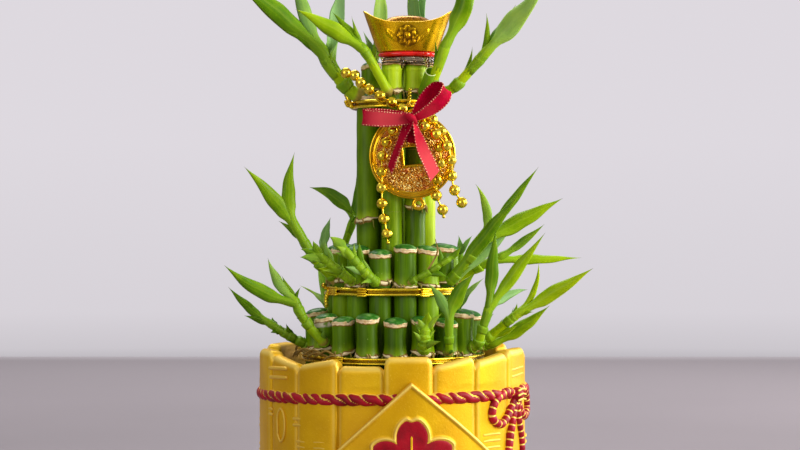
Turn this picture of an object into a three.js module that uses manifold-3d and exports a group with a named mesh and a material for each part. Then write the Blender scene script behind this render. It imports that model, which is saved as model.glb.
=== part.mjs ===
// Lucky bamboo tower: three tiers of cut stalks tied into one bundle, standing in a moulded pot,
// with leafy shoots at the stalks' joints and small festive ornaments tied to the tall inner tier.
// Millimetres, +Z up. The origin is on the pot's axis at its underside, and the front faces -Y.
import * as THREE from 'three';
import { mergeVertices } from 'three/addons/utils/BufferGeometryUtils.js';
import Module from 'manifold-3d';

const wasm = await Module();
wasm.setup();

// Driving dimensions
const clearance = 0.3;

const potHeight = 105;
const potRadius = 65.8;
const potFootRadius = 61;
const potInnerRadius = 58.3;
const potFloor = 7;
const potTurn = 6.7;
const slipCount = 18;

const ropeHeight = 84.2;
const ropeSag = 1.4;
const ropeProud = 2.3;
const ropeHalf = 3.2;

const plaqueCentreHeight = 55;
const plaqueHalfWidth = 46;
const plaqueHalfHeight = 38.5;
const plaqueRadius = 69.2;
const plaqueFieldRadius = 68.3;
const plaqueBorder = 4.2;

const bundleFoot = potFloor + clearance;
const bundleHoleRadius = 44.8;
const gravelTop = 88;

// Each tier is a ring of stalks cut at the heights in its list, from the first stalk's angle on.
const outerTier = {
  name: 'outer_stalk', ring: 38.8, radius: 5.5, first: 1.9, joint: 105.5, spread: 1.4, seed: 11,
  tops: [
    122.7, 123.5, 122.2, 126, 125, 124.2, 123.4, 125.1, 123.8,
    124.6, 123.1, 125.3, 124.2, 125, 126.3, 124, 122.8, 124.8,
  ],
};
const middleTier = {
  name: 'middle_stalk', ring: 27.3, radius: 5.5, first: 12.9, joint: 139, spread: 1.4, seed: 23,
  tops: [157.8, 157.3, 158.2, 157.4, 156.8, 157.9, 156.6, 157.2, 158, 157, 157.6, 157.9, 157.3, 155.2],
};
const innerTier = {
  name: 'inner_stalk', ring: 13.9, radius: 5.05, first: -9.7, joint: 232.7, spread: 0, seed: 5,
  tops: [246.5, 246.5, 246.5, 243.5, 245, 249.5, 233],
};
const innerCentre = new THREE.Vector3(1.8, -1.5, 0);
const innerTop = 246.5;

const stalkSides = 8;
const jointFlare = 0.35;
const jointHalf = 1.1;

const bladeHalfThickness = 0.6;
const tipHalfWidth = 0.35;
const beadRadius = 2.75;
const ribbonWidth = 7.6;
const ribbonThickness = 0.8;

const coinCentre = new THREE.Vector3(9.55, 0, 200.3);
const coinBack = -20.7;
const coinThickness = 2.2;
const coinRadius = 21.2;
const coinHole = 8.5;
const coinTurn = 8;

const ingotCentre = new THREE.Vector3(7.2, -8, 0);
const glueBottom = innerTop + clearance;
const glueHeight = 2.4;
const ingotBaseHeight = 2.2;
const ingotBaseBottom = glueBottom + glueHeight + clearance;
const ingotBottom = ingotBaseBottom + ingotBaseHeight + clearance;

// Materials
function finish(color, roughness, metalness = 0) {
  return new THREE.MeshStandardMaterial({ color, roughness, metalness });
}

const goldPaint = finish('#c9982c', 0.38, 0.65);
const shinyGold = finish('#d9a521', 0.22, 0.9);
const redLacquer = finish('#a81420', 0.25);
const satinRed = finish('#b5123a', 0.55);
const clearGlue = finish('#dfe0dc', 0.15);
const pebbles = finish('#8c8478', 0.85);
const outerGreen = finish('#3f6b1d', 0.35);
const middleGreen = finish('#4c7a22', 0.35);
const innerGreen = finish('#6c9a2c', 0.3);

// General helpers
const radians = THREE.MathUtils.degToRad;
const at = (list) => new THREE.Vector3(...list);
const up = new THREE.Vector3(0, 0, 1);

// A point at a radius and an angle measured from the front towards +X.
function around(radius, degrees, height = 0) {
  const angle = radians(degrees);
  return new THREE.Vector3(radius * Math.sin(angle), -radius * Math.cos(angle), height);
}

// A repeatable draw between 0 and 1.
function drawsFrom(seed) {
  let state = seed;
  return () => {
    state = (state * 16807) % 2147483647;
    return state / 2147483647;
  };
}

// A closed geometry as a solid with its faces pointing out.
function solidOf(geometry) {
  const bare = geometry.clone();
  bare.deleteAttribute('normal');
  bare.deleteAttribute('uv');
  const merged = mergeVertices(bare, 1e-4);
  const position = merged.attributes.position;
  const index = merged.index.array;
  const corner = (i) => new THREE.Vector3().fromBufferAttribute(position, index[i]);
  const triangles = [];
  let volume = 0;
  for (let i = 0; i < index.length; i += 3) {
    const [a, b, c] = [index[i], index[i + 1], index[i + 2]];
    if (a === b || b === c || c === a) continue;
    volume += corner(i).dot(corner(i + 1).cross(corner(i + 2)));
    triangles.push([a, b, c]);
  }
  const outward = volume > 0 ? triangles : triangles.map(([a, b, c]) => [a, c, b]);
  return new wasm.Manifold(new wasm.Mesh({
    numProp: 3,
    vertProperties: new Float32Array(position.array),
    triVerts: new Uint32Array(outward.flat()),
  }));
}

function geometryOf(solid) {
  const mesh = solid.getMesh();
  const geometry = new THREE.BufferGeometry();
  geometry.setAttribute('position', new THREE.BufferAttribute(new Float32Array(mesh.vertProperties), 3));
  geometry.setIndex(new THREE.BufferAttribute(new Uint32Array(mesh.triVerts), 1));
  geometry.computeVertexNormals();
  return geometry;
}

const joined = (solids) => solids.reduce((whole, solid) => whole.add(solid));

// The largest body of a solid, without the scraps that a cut leaves.
function largestBody(solid) {
  const bodies = solid.decompose();
  return bodies.reduce((best, body) => (body.volume() > best.volume() ? body : best));
}

// A closed body through rings of points that run anticlockwise about the way from first to last.
function loft(rings) {
  const count = rings[0].length;
  const last = (rings.length - 1) * count;
  const index = [];
  for (let i = 0; i < last; i += count) {
    for (let j = 0; j < count; j += 1) {
      const a = i + j;
      const b = i + ((j + 1) % count);
      index.push(a, b, b + count, a, b + count, a + count);
    }
  }
  for (let j = 1; j < count - 1; j += 1) {
    index.push(0, j + 1, j, last, last + j, last + j + 1);
  }
  const geometry = new THREE.BufferGeometry();
  const flat = rings.flat().flatMap((point) => point.toArray());
  geometry.setAttribute('position', new THREE.Float32BufferAttribute(flat, 3));
  geometry.setIndex(index);
  return solidOf(geometry);
}

// A body of rotation about Z from a profile of [radius, height] pairs.
function turned(profile, segments, centre = new THREE.Vector3()) {
  const points = profile.map(([radius, height]) => new THREE.Vector2(radius, height));
  const geometry = new THREE.LatheGeometry(points, segments);
  geometry.rotateX(Math.PI / 2);
  geometry.translate(centre.x, centre.y, centre.z);
  return solidOf(geometry);
}

// A ring about Z with a square section.
function band(inner, outer, bottom, top, segments, centre) {
  const profile = [[inner, bottom], [outer, bottom], [outer, top], [inner, top], [inner, bottom]];
  return turned(profile, segments, centre);
}

// A round rod of one radius along a smooth run of points.
function tube(points, radius, sides, steps) {
  const section = new THREE.Shape();
  for (let i = 0; i < sides; i += 1) {
    const angle = (i / sides) * 2 * Math.PI;
    const [x, y] = [radius * Math.cos(angle), radius * Math.sin(angle)];
    if (i === 0) section.moveTo(x, y);
    else section.lineTo(x, y);
  }
  const extrudePath = new THREE.CatmullRomCurve3(points);
  return solidOf(new THREE.ExtrudeGeometry(section, { steps, extrudePath }));
}

function ball(centre, radius, detail = 1) {
  const geometry = new THREE.OctahedronGeometry(radius, detail);
  geometry.translate(centre.x, centre.y, centre.z);
  return solidOf(geometry);
}

function block(size, centre, turn = new THREE.Matrix4()) {
  const geometry = new THREE.BoxGeometry(...size);
  geometry.applyMatrix4(turn);
  geometry.translate(centre.x, centre.y, centre.z);
  return solidOf(geometry);
}

// Pot, modelled about its own front and turned as a whole.
// Each slip has the heights of its left and right top corners against the rim, and how far it stands proud.
const slipTops = [
  { left: 0, right: 0, proud: 0.9 },
  { left: -4.5, right: 0, proud: 0 },
  { left: -3, right: 0.5, proud: 0.5 },
  { left: 1.5, right: 1.5, proud: 0.9 },
  { left: -1, right: -1, proud: 0 },
  { left: -4, right: -2, proud: 0.6 },
  { left: 0.5, right: 0.5, proud: 0.9 },
  { left: -3, right: -3, proud: 0 },
  { left: -1, right: -4, proud: 0.6 },
  { left: 1, right: 1, proud: 0.9 },
  { left: -4, right: -1, proud: 0 },
  { left: -2, right: 0, proud: 0.6 },
  { left: 1, right: 1, proud: 0.9 },
  { left: -3.5, right: -3.5, proud: 0 },
  { left: 0.5, right: 0.5, proud: 0.9 },
  { left: -1, right: -5, proud: 0 },
  { left: -5, right: -1, proud: 0.8 },
  { left: -4.5, right: -4.5, proud: -0.4 },
];

// The columns of the pot's wall: a groove between slips, then three columns across each slip.
// The moulded rope is pinched between its strands.
function wallColumns() {
  const span = 360 / slipCount;
  const columns = [];
  for (let slip = 0; slip < slipCount; slip += 1) {
    const { left, right, proud } = slipTops[slip];
    const before = slipTops[(slip + slipCount - 1) % slipCount];
    const start = (slip - 0.5) * span;
    const grooveTop = Math.min(before.right, left) - 1.5;
    columns.push({ angle: start, radius: potRadius - 0.8, top: grooveTop, pinch: 0.9 });
    for (const share of [0.06, 0.5, 0.94]) {
      const top = left + (right - left) * share;
      const pinch = share === 0.5 ? 0.9 : 0;
      columns.push({ angle: start + share * span, radius: potRadius + proud, top, pinch });
    }
  }
  return columns;
}

function potWall() {
  const rows = wallColumns().map(({ angle, radius, top, pinch }) => {
    const rim = potHeight + top;
    const rope = ropeHeight + ropeSag * Math.cos(radians(angle - 35));
    const profile = [
      [potFootRadius, 0],
      [radius, 8],
      [radius, rope - ropeHalf],
      [potRadius + ropeProud - pinch, rope],
      [radius, rope + ropeHalf],
      [radius, rim - 3],
      [radius - 2.2, rim],
      [potInnerRadius + 1, rim - 0.4],
      [potInnerRadius, rim - 3],
      [potInnerRadius - 0.8, potFloor + 4],
      [potInnerRadius - 4.3, potFloor],
    ];
    return profile.map(([r, height]) => around(r, angle, height));
  });
  const count = rows[0].length;
  const points = [new THREE.Vector3(), new THREE.Vector3(0, 0, potFloor), ...rows.flat()];
  const index = [];
  rows.forEach((row, i) => {
    const here = 2 + i * count;
    const next = 2 + ((i + 1) % rows.length) * count;
    index.push(0, next, here);
    index.push(1, here + count - 1, next + count - 1);
    for (let j = 0; j < count - 1; j += 1) {
      index.push(here + j, next + j, next + j + 1, here + j, next + j + 1, here + j + 1);
    }
  });
  const geometry = new THREE.BufferGeometry();
  const flat = points.flatMap((point) => point.toArray());
  geometry.setAttribute('position', new THREE.Float32BufferAttribute(flat, 3));
  geometry.setIndex(index);
  return solidOf(geometry);
}

// The moulded bow of the same rope: a knot, two hanging loops and two tails on the wall at the right.
function bowRelief() {
  const surface = potRadius + 0.8;
  const radius = 2.1;
  const run = (pairs) => pairs.map(([degrees, height]) => around(surface, degrees, height));
  const knot = ball(around(surface, 56, 84.5), 4.6);
  const left = run([[55, 85], [48, 86.5], [40, 82], [39, 75], [45, 73], [52, 79], [55.5, 84]]);
  const right = run([[57, 85], [64, 87], [72, 83], [74, 76], [68, 73], [61, 78], [57, 84]]);
  const leftLoop = tube(left, radius, 5, 10);
  const rightLoop = tube(right, radius, 5, 10);
  const leftTail = tube(run([[56, 84], [54, 74], [51, 62], [49, 50]]), radius, 5, 5);
  const rightTail = tube(run([[56.5, 84], [59, 73], [62, 62], [61, 50]]), radius, 5, 5);
  return joined([knot, leftLoop, rightLoop, leftTail, rightTail]);
}

// A lozenge on the wall between two radii.
function lozenge(halfWidth, halfHeight, inner, outer) {
  const columns = 10;
  const rings = [];
  for (let i = 0; i <= columns; i += 1) {
    const along = -1 + (2 * i) / columns;
    const degrees = THREE.MathUtils.radToDeg((along * halfWidth) / potRadius);
    const reach = Math.max(halfHeight * (1 - Math.abs(along)), 0.05);
    const [low, high] = [plaqueCentreHeight - reach, plaqueCentreHeight + reach];
    rings.push([
      around(outer, degrees, low),
      around(inner, degrees, low),
      around(inner, degrees, high),
      around(outer, degrees, high),
    ]);
  }
  return loft(rings);
}

// A five-petalled blossom raised on the plaque.
function blossomRelief() {
  const petalOut = 12.5;
  const petalRadius = 9.5;
  const petalStep = (2 * Math.PI) / 5;
  const columns = 30;
  const levels = [
    { share: 1, radius: potInnerRadius + 5 },
    { share: 1, radius: plaqueRadius },
    { share: 0.5, radius: plaqueRadius + 0.5 },
  ];
  const rings = levels.map(({ share, radius }) => {
    const ring = [];
    for (let i = 0; i < columns; i += 1) {
      const angle = (i / columns) * 2 * Math.PI;
      const petal = Math.round((angle - Math.PI / 2) / petalStep);
      const off = angle - Math.PI / 2 - petal * petalStep;
      const inside = petalRadius ** 2 - (petalOut * Math.sin(off)) ** 2;
      const reach = petalOut * Math.cos(off) + Math.sqrt(inside);
      const across = THREE.MathUtils.radToDeg((share * reach * Math.cos(angle)) / potRadius);
      ring.push(around(radius, across, plaqueCentreHeight + share * reach * Math.sin(angle)));
    }
    return ring;
  });
  return loft(rings);
}

function potSolid() {
  const plaque = lozenge(plaqueHalfWidth, plaqueHalfHeight, potInnerRadius + 3, plaqueRadius);
  const shrink = 1 - plaqueBorder / plaqueHalfHeight;
  const [fieldWidth, fieldHeight] = [plaqueHalfWidth * shrink, plaqueHalfHeight * shrink];
  const field = lozenge(fieldWidth, fieldHeight, plaqueFieldRadius, plaqueRadius + 3);
  const body = joined([potWall(), bowRelief(), plaque]).subtract(field).add(blossomRelief());
  return body.rotate([0, 0, potTurn]);
}

// The gravel round the bundle, with one plain round hole for it.
function gravelSolid() {
  const foot = potInnerRadius - 4.6;
  const side = potInnerRadius - 1.2;
  return turned([
    [bundleHoleRadius, bundleFoot],
    [foot, bundleFoot],
    [side, potFloor + 4.2],
    [side, gravelTop],
    [bundleHoleRadius, gravelTop],
    [bundleHoleRadius, bundleFoot],
  ], 32);
}

// Stalks. Every stalk has its centre line, its cut top and its swollen joints.
function stalkSolid({ centre, radius, top, joints }, grow = 0) {
  const r = radius + grow;
  const profile = [[0, bundleFoot - grow], [r, bundleFoot - grow]];
  for (const joint of joints) {
    profile.push([r, joint - jointHalf], [r + jointFlare, joint], [r, joint + jointHalf]);
  }
  profile.push([r, top + grow], [0, top + grow]);
  return turned(profile, stalkSides, centre);
}

// The joints of one tier's stalks lie within its spread of one height.
function tierStalks({ name, ring, radius, first, joint, spread, seed, tops }, offset) {
  const draw = drawsFrom(seed);
  return tops.map((top, i) => {
    const angle = first + (360 / tops.length) * i;
    const centre = around(ring, angle).add(offset);
    const joints = [joint + (draw() - 0.5) * 2 * spread];
    return { name: `${name}_${String(i + 1).padStart(2, '0')}`, centre, radius, top, joints };
  });
}

const nowhere = new THREE.Vector3();
const outerStalks = tierStalks(outerTier, nowhere);
const middleStalks = tierStalks(middleTier, nowhere);
const innerStalks = tierStalks(innerTier, innerCentre);
innerStalks.push({
  name: 'inner_stalk_08',
  centre: innerCentre.clone(),
  radius: innerTier.radius,
  top: innerTop,
  joints: [innerTier.joint],
});
innerStalks[2].centre.set(16.2, -0.9, 0);
// The stalk at the left of the tall tier is thicker, and its shoot grows from its cut top.
innerStalks[6].centre.set(-12.3, -8.2, 0);
innerStalks[6].radius = 5.8;
innerStalks[6].joints = [169.5];

// Shoots. Each has the stalk that it grows from, its stem's points outside the stalk, the stem's radius
// and its leaves. A leaf is the share of the stem where it starts, its tip, its width and, where the
// leaf arches by a known amount, how far its middle stands above the straight line to the tip.
const outerShoots = [
  {
    stalk: 15,
    thick: 2.6,
    stem: [[-34, -26.5, 110], [-38.8, -27, 115], [-44.2, -28, 122.5], [-47.6, -28.5, 130]],
    leaves: [
      [0.95, [-81, -37, 147.3], 8, -2.7],
      [1, [-60.5, -30, 150.5], 6, -1.7],
      [0.85, [-54, -27, 142], 4],
      [0.95, [-44.6, -30, 136.4], 2.2],
    ],
  },
  {
    stalk: 14,
    thick: 2.2,
    stem: [[-43, -9, 107], [-52, -11, 112], [-61, -13, 118]],
    leaves: [
      [1, [-81, -15, 136], 5, -0.8],
      [0.95, [-73, -17, 122], 4],
      [0.85, [-59.8, -9, 121], 4],
      [0.5, [-52.5, -15, 118], 4],
      [0.75, [-60, -18, 113.5], 3.5],
      [0.35, [-52.3, -14, 109.5], 3.5],
    ],
  },
  {
    stalk: 1,
    thick: 2.2,
    stem: [[15.5, -41.5, 108], [16, -43, 113], [16.5, -44, 118]],
    leaves: [
      [0.9, [17, -45.5, 125.5], 4],
      [0.8, [13, -45, 121], 4],
      [0.8, [20, -44.5, 121], 3.5],
    ],
  },
  {
    stalk: 2,
    thick: 2.2,
    stem: [[27, -35, 106], [27, -37, 113], [27, -38.5, 121]],
    leaves: [
      [0.95, [39.6, -42, 143.6], 8, 2.5],
      [1, [16.4, -40, 138.8], 6],
    ],
  },
  {
    stalk: 3,
    thick: 2.5,
    stem: [[41, -23, 108], [44, -24, 117], [47, -25, 127]],
    leaves: [
      [1, [50, -28, 164.3], 7, 0],
      [0.95, [74, -28, 162.8], 7, 0.5],
      [0.95, [66.9, -9, 134.5], 6, 2.5],
    ],
  },
  {
    stalk: 4,
    thick: 2.4,
    stem: [[46, -7, 110], [51, -8.5, 114], [57, -10.5, 119], [62, -12, 122.8]],
    leaves: [
      [1, [97.9, -24, 145.6], 8, 0],
      [0.8, [61.5, -8, 127.9], 3],
      [0.9, [69, -18, 123.8], 3],
      [1, [71.8, -14, 148.4], 3.5, -3],
      [0.35, [61.7, -12, 117], 4, -0.5],
      [0.2, [54.5, -5, 120], 3.5],
    ],
  },
  {
    stalk: 5,
    thick: 2.2,
    stem: [[43.5, 7, 105.6], [47, 5, 106], [51, 3, 107]],
    leaves: [
      [0.95, [78, -4, 126.4], 7.5, -1],
      [0.7, [61, 12, 125], 6],
    ],
  },
];

const middleShoots = [
  {
    stalk: 11,
    thick: 2.6,
    stem: [[-29, -14, 140], [-37, -18, 148], [-48.2, -22, 166.5]],
    leaves: [
      [0.95, [-72, -30, 194.8], 8.2],
      [1, [-47.8, -24, 202], 7.5],
      [0.85, [-56, -20, 168.5], 4],
    ],
  },
  {
    stalk: 10,
    thick: 2.2,
    stem: [[-31, -1, 140], [-33.5, -2, 147], [-34.5, -3, 155]],
    leaves: [
      [1, [-31, -4, 170.3], 5],
      [0.9, [-36, 1, 163], 4.5],
    ],
  },
  {
    stalk: 9,
    thick: 2.3,
    front: true,
    stem: [[-27, 13.5, 140], [-25, 16, 155], [-19.5, 17, 171]],
    leaves: [
      [1, [-43, 20, 185.8], 8, 3],
      [0.9, [-18.8, 17, 191], 4.5],
    ],
  },
  {
    stalk: 13,
    thick: 2.2,
    stem: [[-9, -32.5, 139.5], [-14.8, -34.5, 144.9], [-19.6, -36, 150.6], [-23, -36.5, 154.5]],
    leaves: [
      [0.95, [-30.5, -36, 161], 6.5, 0.8],
      [0.7, [-27, -39.5, 156.5], 5, 0.6],
      [0.4, [-23, -39.5, 146.5], 4, 0.5],
      [0.5, [-16, -35, 158], 4.5, -0.5],
      [0.25, [-14.5, -35, 151], 3.5, -0.4],
    ],
  },
  {
    stalk: 12,
    thick: 2,
    stem: [[-20.5, -27, 139.5], [-26, -30, 144], [-32, -32, 149], [-35, -32.5, 151.5]],
    leaves: [
      [0.95, [-44.7, -32, 155], 4.5, 0.5],
      [0.85, [-44.7, -35, 151], 5, 0.4],
      [0.9, [-38.5, -32, 159], 5, -0.4],
      [0.6, [-33, -30.5, 158.5], 4.5, -0.6],
      [0.4, [-36.2, -32.5, 145.5], 5, 0.6],
    ],
  },
  {
    stalk: 0,
    thick: 1.5,
    stem: [[9, -32, 139], [18, -34, 144], [27, -34.5, 150]],
    leaves: [
      [1, [33, -35, 156], 3.5],
      [0.8, [22, -35, 156], 3.5],
      [0.6, [27, -37, 141], 3.5],
    ],
  },
  {
    stalk: 4,
    thick: 1.8,
    stem: [[30, 12, 140], [32, 11, 146], [34, 10, 151]],
    leaves: [
      [0.9, [33, 9, 161.3], 4],
      [1, [40, 8, 161.3], 4],
    ],
  },
  {
    stalk: 2,
    thick: 2.5,
    stem: [[29, -16, 140], [39, -18, 152], [47.6, -19, 164]],
    leaves: [
      [0.35, [62.5, -30, 182.5], 8, 0.5],
      [1, [71, -24, 194.8], 5, 0],
      [0.9, [40.4, -20, 186.7], 5, 3.2],
      [0.25, [64, -17, 172], 7.5, -0.5],
      [0.85, [83.6, -16, 179.7], 9, 0],
    ],
  },
  {
    stalk: 3,
    thick: 2.3,
    stem: [[33, -1, 140], [44, -5, 146], [54, -7, 151]],
    leaves: [
      [1, [75, -11, 167], 4.5, -0.5],
      [0.9, [93.6, -6, 150.2], 6, 0],
    ],
  },
];

const innerShoots = [
  {
    stalk: 6,
    thick: 3.7,
    stem: [[-20.5, -11.5, 232.2], [-27.2, -13, 240], [-32, -14, 247], [-35.5, -14.5, 252.5]],
    leaves: [
      [0.95, [-82, -26, 290], 11, 1.5],
      [1, [-49, -4, 296], 8],
      [0.75, [-25, 4, 293], 9, -1.2],
      [0.75, [-53, -20, 261.6], 5, 2],
      [0.4, [-35.5, -14, 244.8], 2.5],
    ],
  },
  {
    stalk: 0,
    thick: 2.7,
    stem: [[-3, -20.5, 232.7], [-9.5, -22, 244.5], [-15, -24, 253]],
    leaves: [
      [0.95, [-47, -33, 270.5], 8.5, 2],
      [1, [-29.7, -22, 270.6], 5],
      [0.9, [-20, -25, 268], 3],
    ],
  },
  {
    stalk: 5,
    thick: 2.6,
    stem: [[-13, 7, 238], [-11, 8.5, 245], [-9, 9.5, 252]],
    leaves: [
      [1, [-8.5, 13, 296], 9],
      [0.6, [-15.2, 9, 264.5], 6],
    ],
  },
  {
    stalk: 3,
    thick: 2.6,
    stem: [[13, 15.5, 234], [14, 17, 241], [13.5, 17.5, 250]],
    leaves: [
      [1, [9.5, 16, 300], 9.5],
      [0.9, [18, 20, 296], 8],
    ],
  },
  {
    stalk: 1,
    thick: 3,
    stem: [[17, -17, 233], [21.5, -20.5, 242], [25.5, -22.5, 254]],
    leaves: [
      [1, [38.5, -26, 298], 11, -1.3],
      [0.95, [44, -20, 284], 6],
      [0.5, [20.5, -24, 257], 3],
    ],
  },
  {
    stalk: 2,
    thick: 2.9,
    stem: [[21, -2, 232], [29, -6, 234], [38, -9, 242.7], [46, -12, 251.8]],
    leaves: [
      [1, [76.5, -24, 286.8], 11.5],
      [0.95, [61, -6, 276], 7],
      [0.9, [46, -14, 271], 4],
      [0.6, [39.5, -6, 255], 3],
    ],
  },
];

// Shoots behind, drawn by one rule: a stem out and up, and three leaves fanned about its end.
const ruledShoots = [
  { stalk: outerStalks[7], angle: 155, height: 106, reach: 32, spread: 30, seed: 131 },
  { stalk: outerStalks[9], angle: 182, height: 106, reach: 36, spread: 30, seed: 110 },
  { stalk: outerStalks[11], angle: 206, height: 106, reach: 32, spread: 30, seed: 112 },
  { stalk: middleStalks[6], angle: 172, height: 140, reach: 34, spread: 20, seed: 207 },
  { stalk: middleStalks[7], angle: 189, height: 140, reach: 31, spread: 17, seed: 209 },
  { stalk: innerStalks[4], angle: 185, height: 233, reach: 32, spread: 24, seed: 307 },
];

function ruledShoot({ stalk, angle, height, reach, spread, seed }) {
  const draw = drawsFrom(seed);
  const out = around(1, angle);
  const root = stalk.centre.clone().addScaledVector(out, stalk.radius + 1).setZ(height);
  const rise = (outward, upward) => root.clone().addScaledVector(out, outward).addScaledVector(up, upward);
  const end = rise(reach * 0.3, reach * 0.42);
  const leaves = [-spread, 0, spread].map((fan, i) => {
    const swing = fan + (draw() - 0.5) * 10;
    const steep = 0.45 + 0.65 * draw();
    const tip = end.clone().addScaledVector(around(1, angle + swing), reach * (0.75 - 0.2 * steep));
    tip.z += reach * steep;
    return [0.8 + 0.1 * i, tip.toArray(), 6.5 + 2 * draw()];
  });
  const stem = [root, rise(reach * 0.17, reach * 0.17), end].map((point) => point.toArray());
  return { thick: 2.3, stem, leaves };
}

// The way a leaf's upper face looks: to the front at the front, up and back to the middle behind.
// The leaves of a shoot with "front" set look to the front wherever they are.
function facingAt(point, front) {
  const inward = new THREE.Vector3(-point.x, -point.y, 0).normalize();
  const behind = front ? 0 : THREE.MathUtils.clamp((point.y - 4) / 12, 0, 1);
  return new THREE.Vector3(0, -1, 0.35).lerp(inward.multiplyScalar(0.6).setZ(0.8), behind).normalize();
}

// Half the width of a leaf, as a share of its widest, from its base at 0 to its tip at 1.
function leafShare(t) {
  const widest = 0.38;
  if (t < widest) return 0.5 + 0.5 * Math.sin(((t / widest) * Math.PI) / 2);
  return Math.cos((((t - widest) / (1 - widest)) * Math.PI) / 2) ** 1.25;
}

// The point that bends a leaf's middle line: from its known arch, or else from the way it sets out.
function leafBend({ base, aim, tip, bow }) {
  const chord = tip.clone().sub(base);
  if (bow === undefined) return base.clone().addScaledVector(aim, chord.length() * 0.45);
  const above = new THREE.Vector3(-chord.z, 0, chord.x).normalize();
  if (above.z < 0) above.negate();
  return base.clone().add(tip).multiplyScalar(0.5).addScaledVector(above, 2 * bow);
}

function leafSolid(leaf, grow) {
  const { base, tip, width, front } = leaf;
  const length = base.distanceTo(tip);
  const curve = new THREE.QuadraticBezierCurve3(base, leafBend(leaf), tip);
  const facing = facingAt(tip, front);
  const shares = length < 26 ? [0, 0.42, 1] : [0, 0.25, 0.6, 1];
  const rings = shares.map((t) => {
    const centre = curve.getPoint(t);
    const along = curve.getTangent(t);
    const out = facing.clone().addScaledVector(along, -facing.dot(along)).normalize();
    const side = new THREE.Vector3().crossVectors(out, along);
    const half = Math.max((width / 2) * leafShare(t), tipHalfWidth) + grow;
    const thick = bladeHalfThickness * (t === 1 ? 0.55 : 1) + grow;
    const lift = 0.16 * half;
    return [
      centre.clone().addScaledVector(side, half).addScaledVector(out, lift),
      centre.clone().addScaledVector(out, thick),
      centre.clone().addScaledVector(side, -half).addScaledVector(out, lift),
      centre.clone().addScaledVector(out, -thick),
    ];
  });
  return loft(rings);
}

// The stem tapers from its root, which starts inside the stalk.
function stemSolid(curve, thick, grow) {
  const sides = 5;
  const steps = 3;
  const rings = [];
  for (let i = 0; i <= steps; i += 1) {
    const t = i / steps;
    const along = curve.getTangent(t);
    const side = new THREE.Vector3().crossVectors(along, new THREE.Vector3(0, 1, 0)).normalize();
    const out = new THREE.Vector3().crossVectors(along, side);
    const radius = thick * (1 - 0.22 * t) + grow;
    const ring = [];
    for (let j = 0; j < sides; j += 1) {
      const angle = (j / sides) * 2 * Math.PI;
      const spoke = side.clone().multiplyScalar(Math.cos(angle)).addScaledVector(out, Math.sin(angle));
      ring.push(curve.getPoint(t).addScaledVector(spoke, radius));
    }
    rings.push(ring);
  }
  return loft(rings);
}

function shootSolid(stalk, { thick, stem, leaves, front }, grow = 0) {
  const points = stem.map(at);
  const inward = stalk.centre.clone().setZ(points[0].z).sub(points[0]).normalize();
  const surface = points[0].distanceTo(stalk.centre.clone().setZ(points[0].z)) - stalk.radius;
  const root = points[0].clone().addScaledVector(inward, surface + 2).addScaledVector(up, -1.5);
  const curve = new THREE.CatmullRomCurve3([root, ...points]);
  const pieces = [stemSolid(curve, thick, grow)];
  for (const [share, tipList, width, bow] of leaves) {
    const base = curve.getPoint(Math.min(share, 0.985));
    const tip = at(tipList);
    const towards = tip.clone().sub(base).normalize();
    const aim = curve.getTangent(share).lerp(towards, 0.25).normalize();
    pieces.push(leafSolid({ base, aim, tip, width, bow, front }, grow));
  }
  return joined(pieces);
}

// Ornaments
function tieSolid(inner, bottom, top, centre, twist) {
  const middle = (bottom + top) / 2;
  const outer = inner + 1;
  const ring = turned([
    [inner, bottom],
    [outer, bottom],
    [outer - 0.5, middle],
    [outer, top],
    [inner, top],
    [inner, bottom],
  ], 24, centre);
  return joined([ring, ...twist]);
}

// The twisted wire ends stand off each tie at the left.
function topTie() {
  const twist = [
    tube([[-20, -8.5, 225], [-21.8, -9.8, 228], [-23, -9.5, 231]].map(at), 1.1, 4, 2),
    tube([[-20, -7.5, 227], [-22.2, -7.8, 225.5], [-23.4, -9, 227.5]].map(at), 1, 4, 2),
  ];
  return tieSolid(20.85, 224, 228, new THREE.Vector3(0.9, -1.8, 0), twist);
}

function middleTie() {
  const twist = [
    tube([[-31.2, -12, 134.2], [-33, -13.2, 137], [-34.2, -13, 139.6]].map(at), 1.1, 4, 2),
    tube([[-31.2, -13, 134], [-32.8, -14, 130.5], [-32.4, -14.4, 127]].map(at), 1, 4, 2),
  ];
  return tieSolid(33.3, 132, 136, nowhere, twist);
}

function lowerTie() {
  return tieSolid(44.8, 99.5, 103, nowhere, []);
}

// An oval slab with its edge slightly rounded.
function ovalSlab(width, depth, bottom, height) {
  const columns = 20;
  const levels = [[0.97, 0], [1, 0.5], [0.97, 1]];
  return loft(levels.map(([share, level]) => {
    const ring = [];
    for (let i = 0; i < columns; i += 1) {
      const angle = (i / columns) * 2 * Math.PI;
      const x = ingotCentre.x + (share * width * Math.cos(angle)) / 2;
      const y = ingotCentre.y + (share * depth * Math.sin(angle)) / 2;
      ring.push(new THREE.Vector3(x, y, bottom + level * height));
    }
    return ring;
  }));
}

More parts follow.
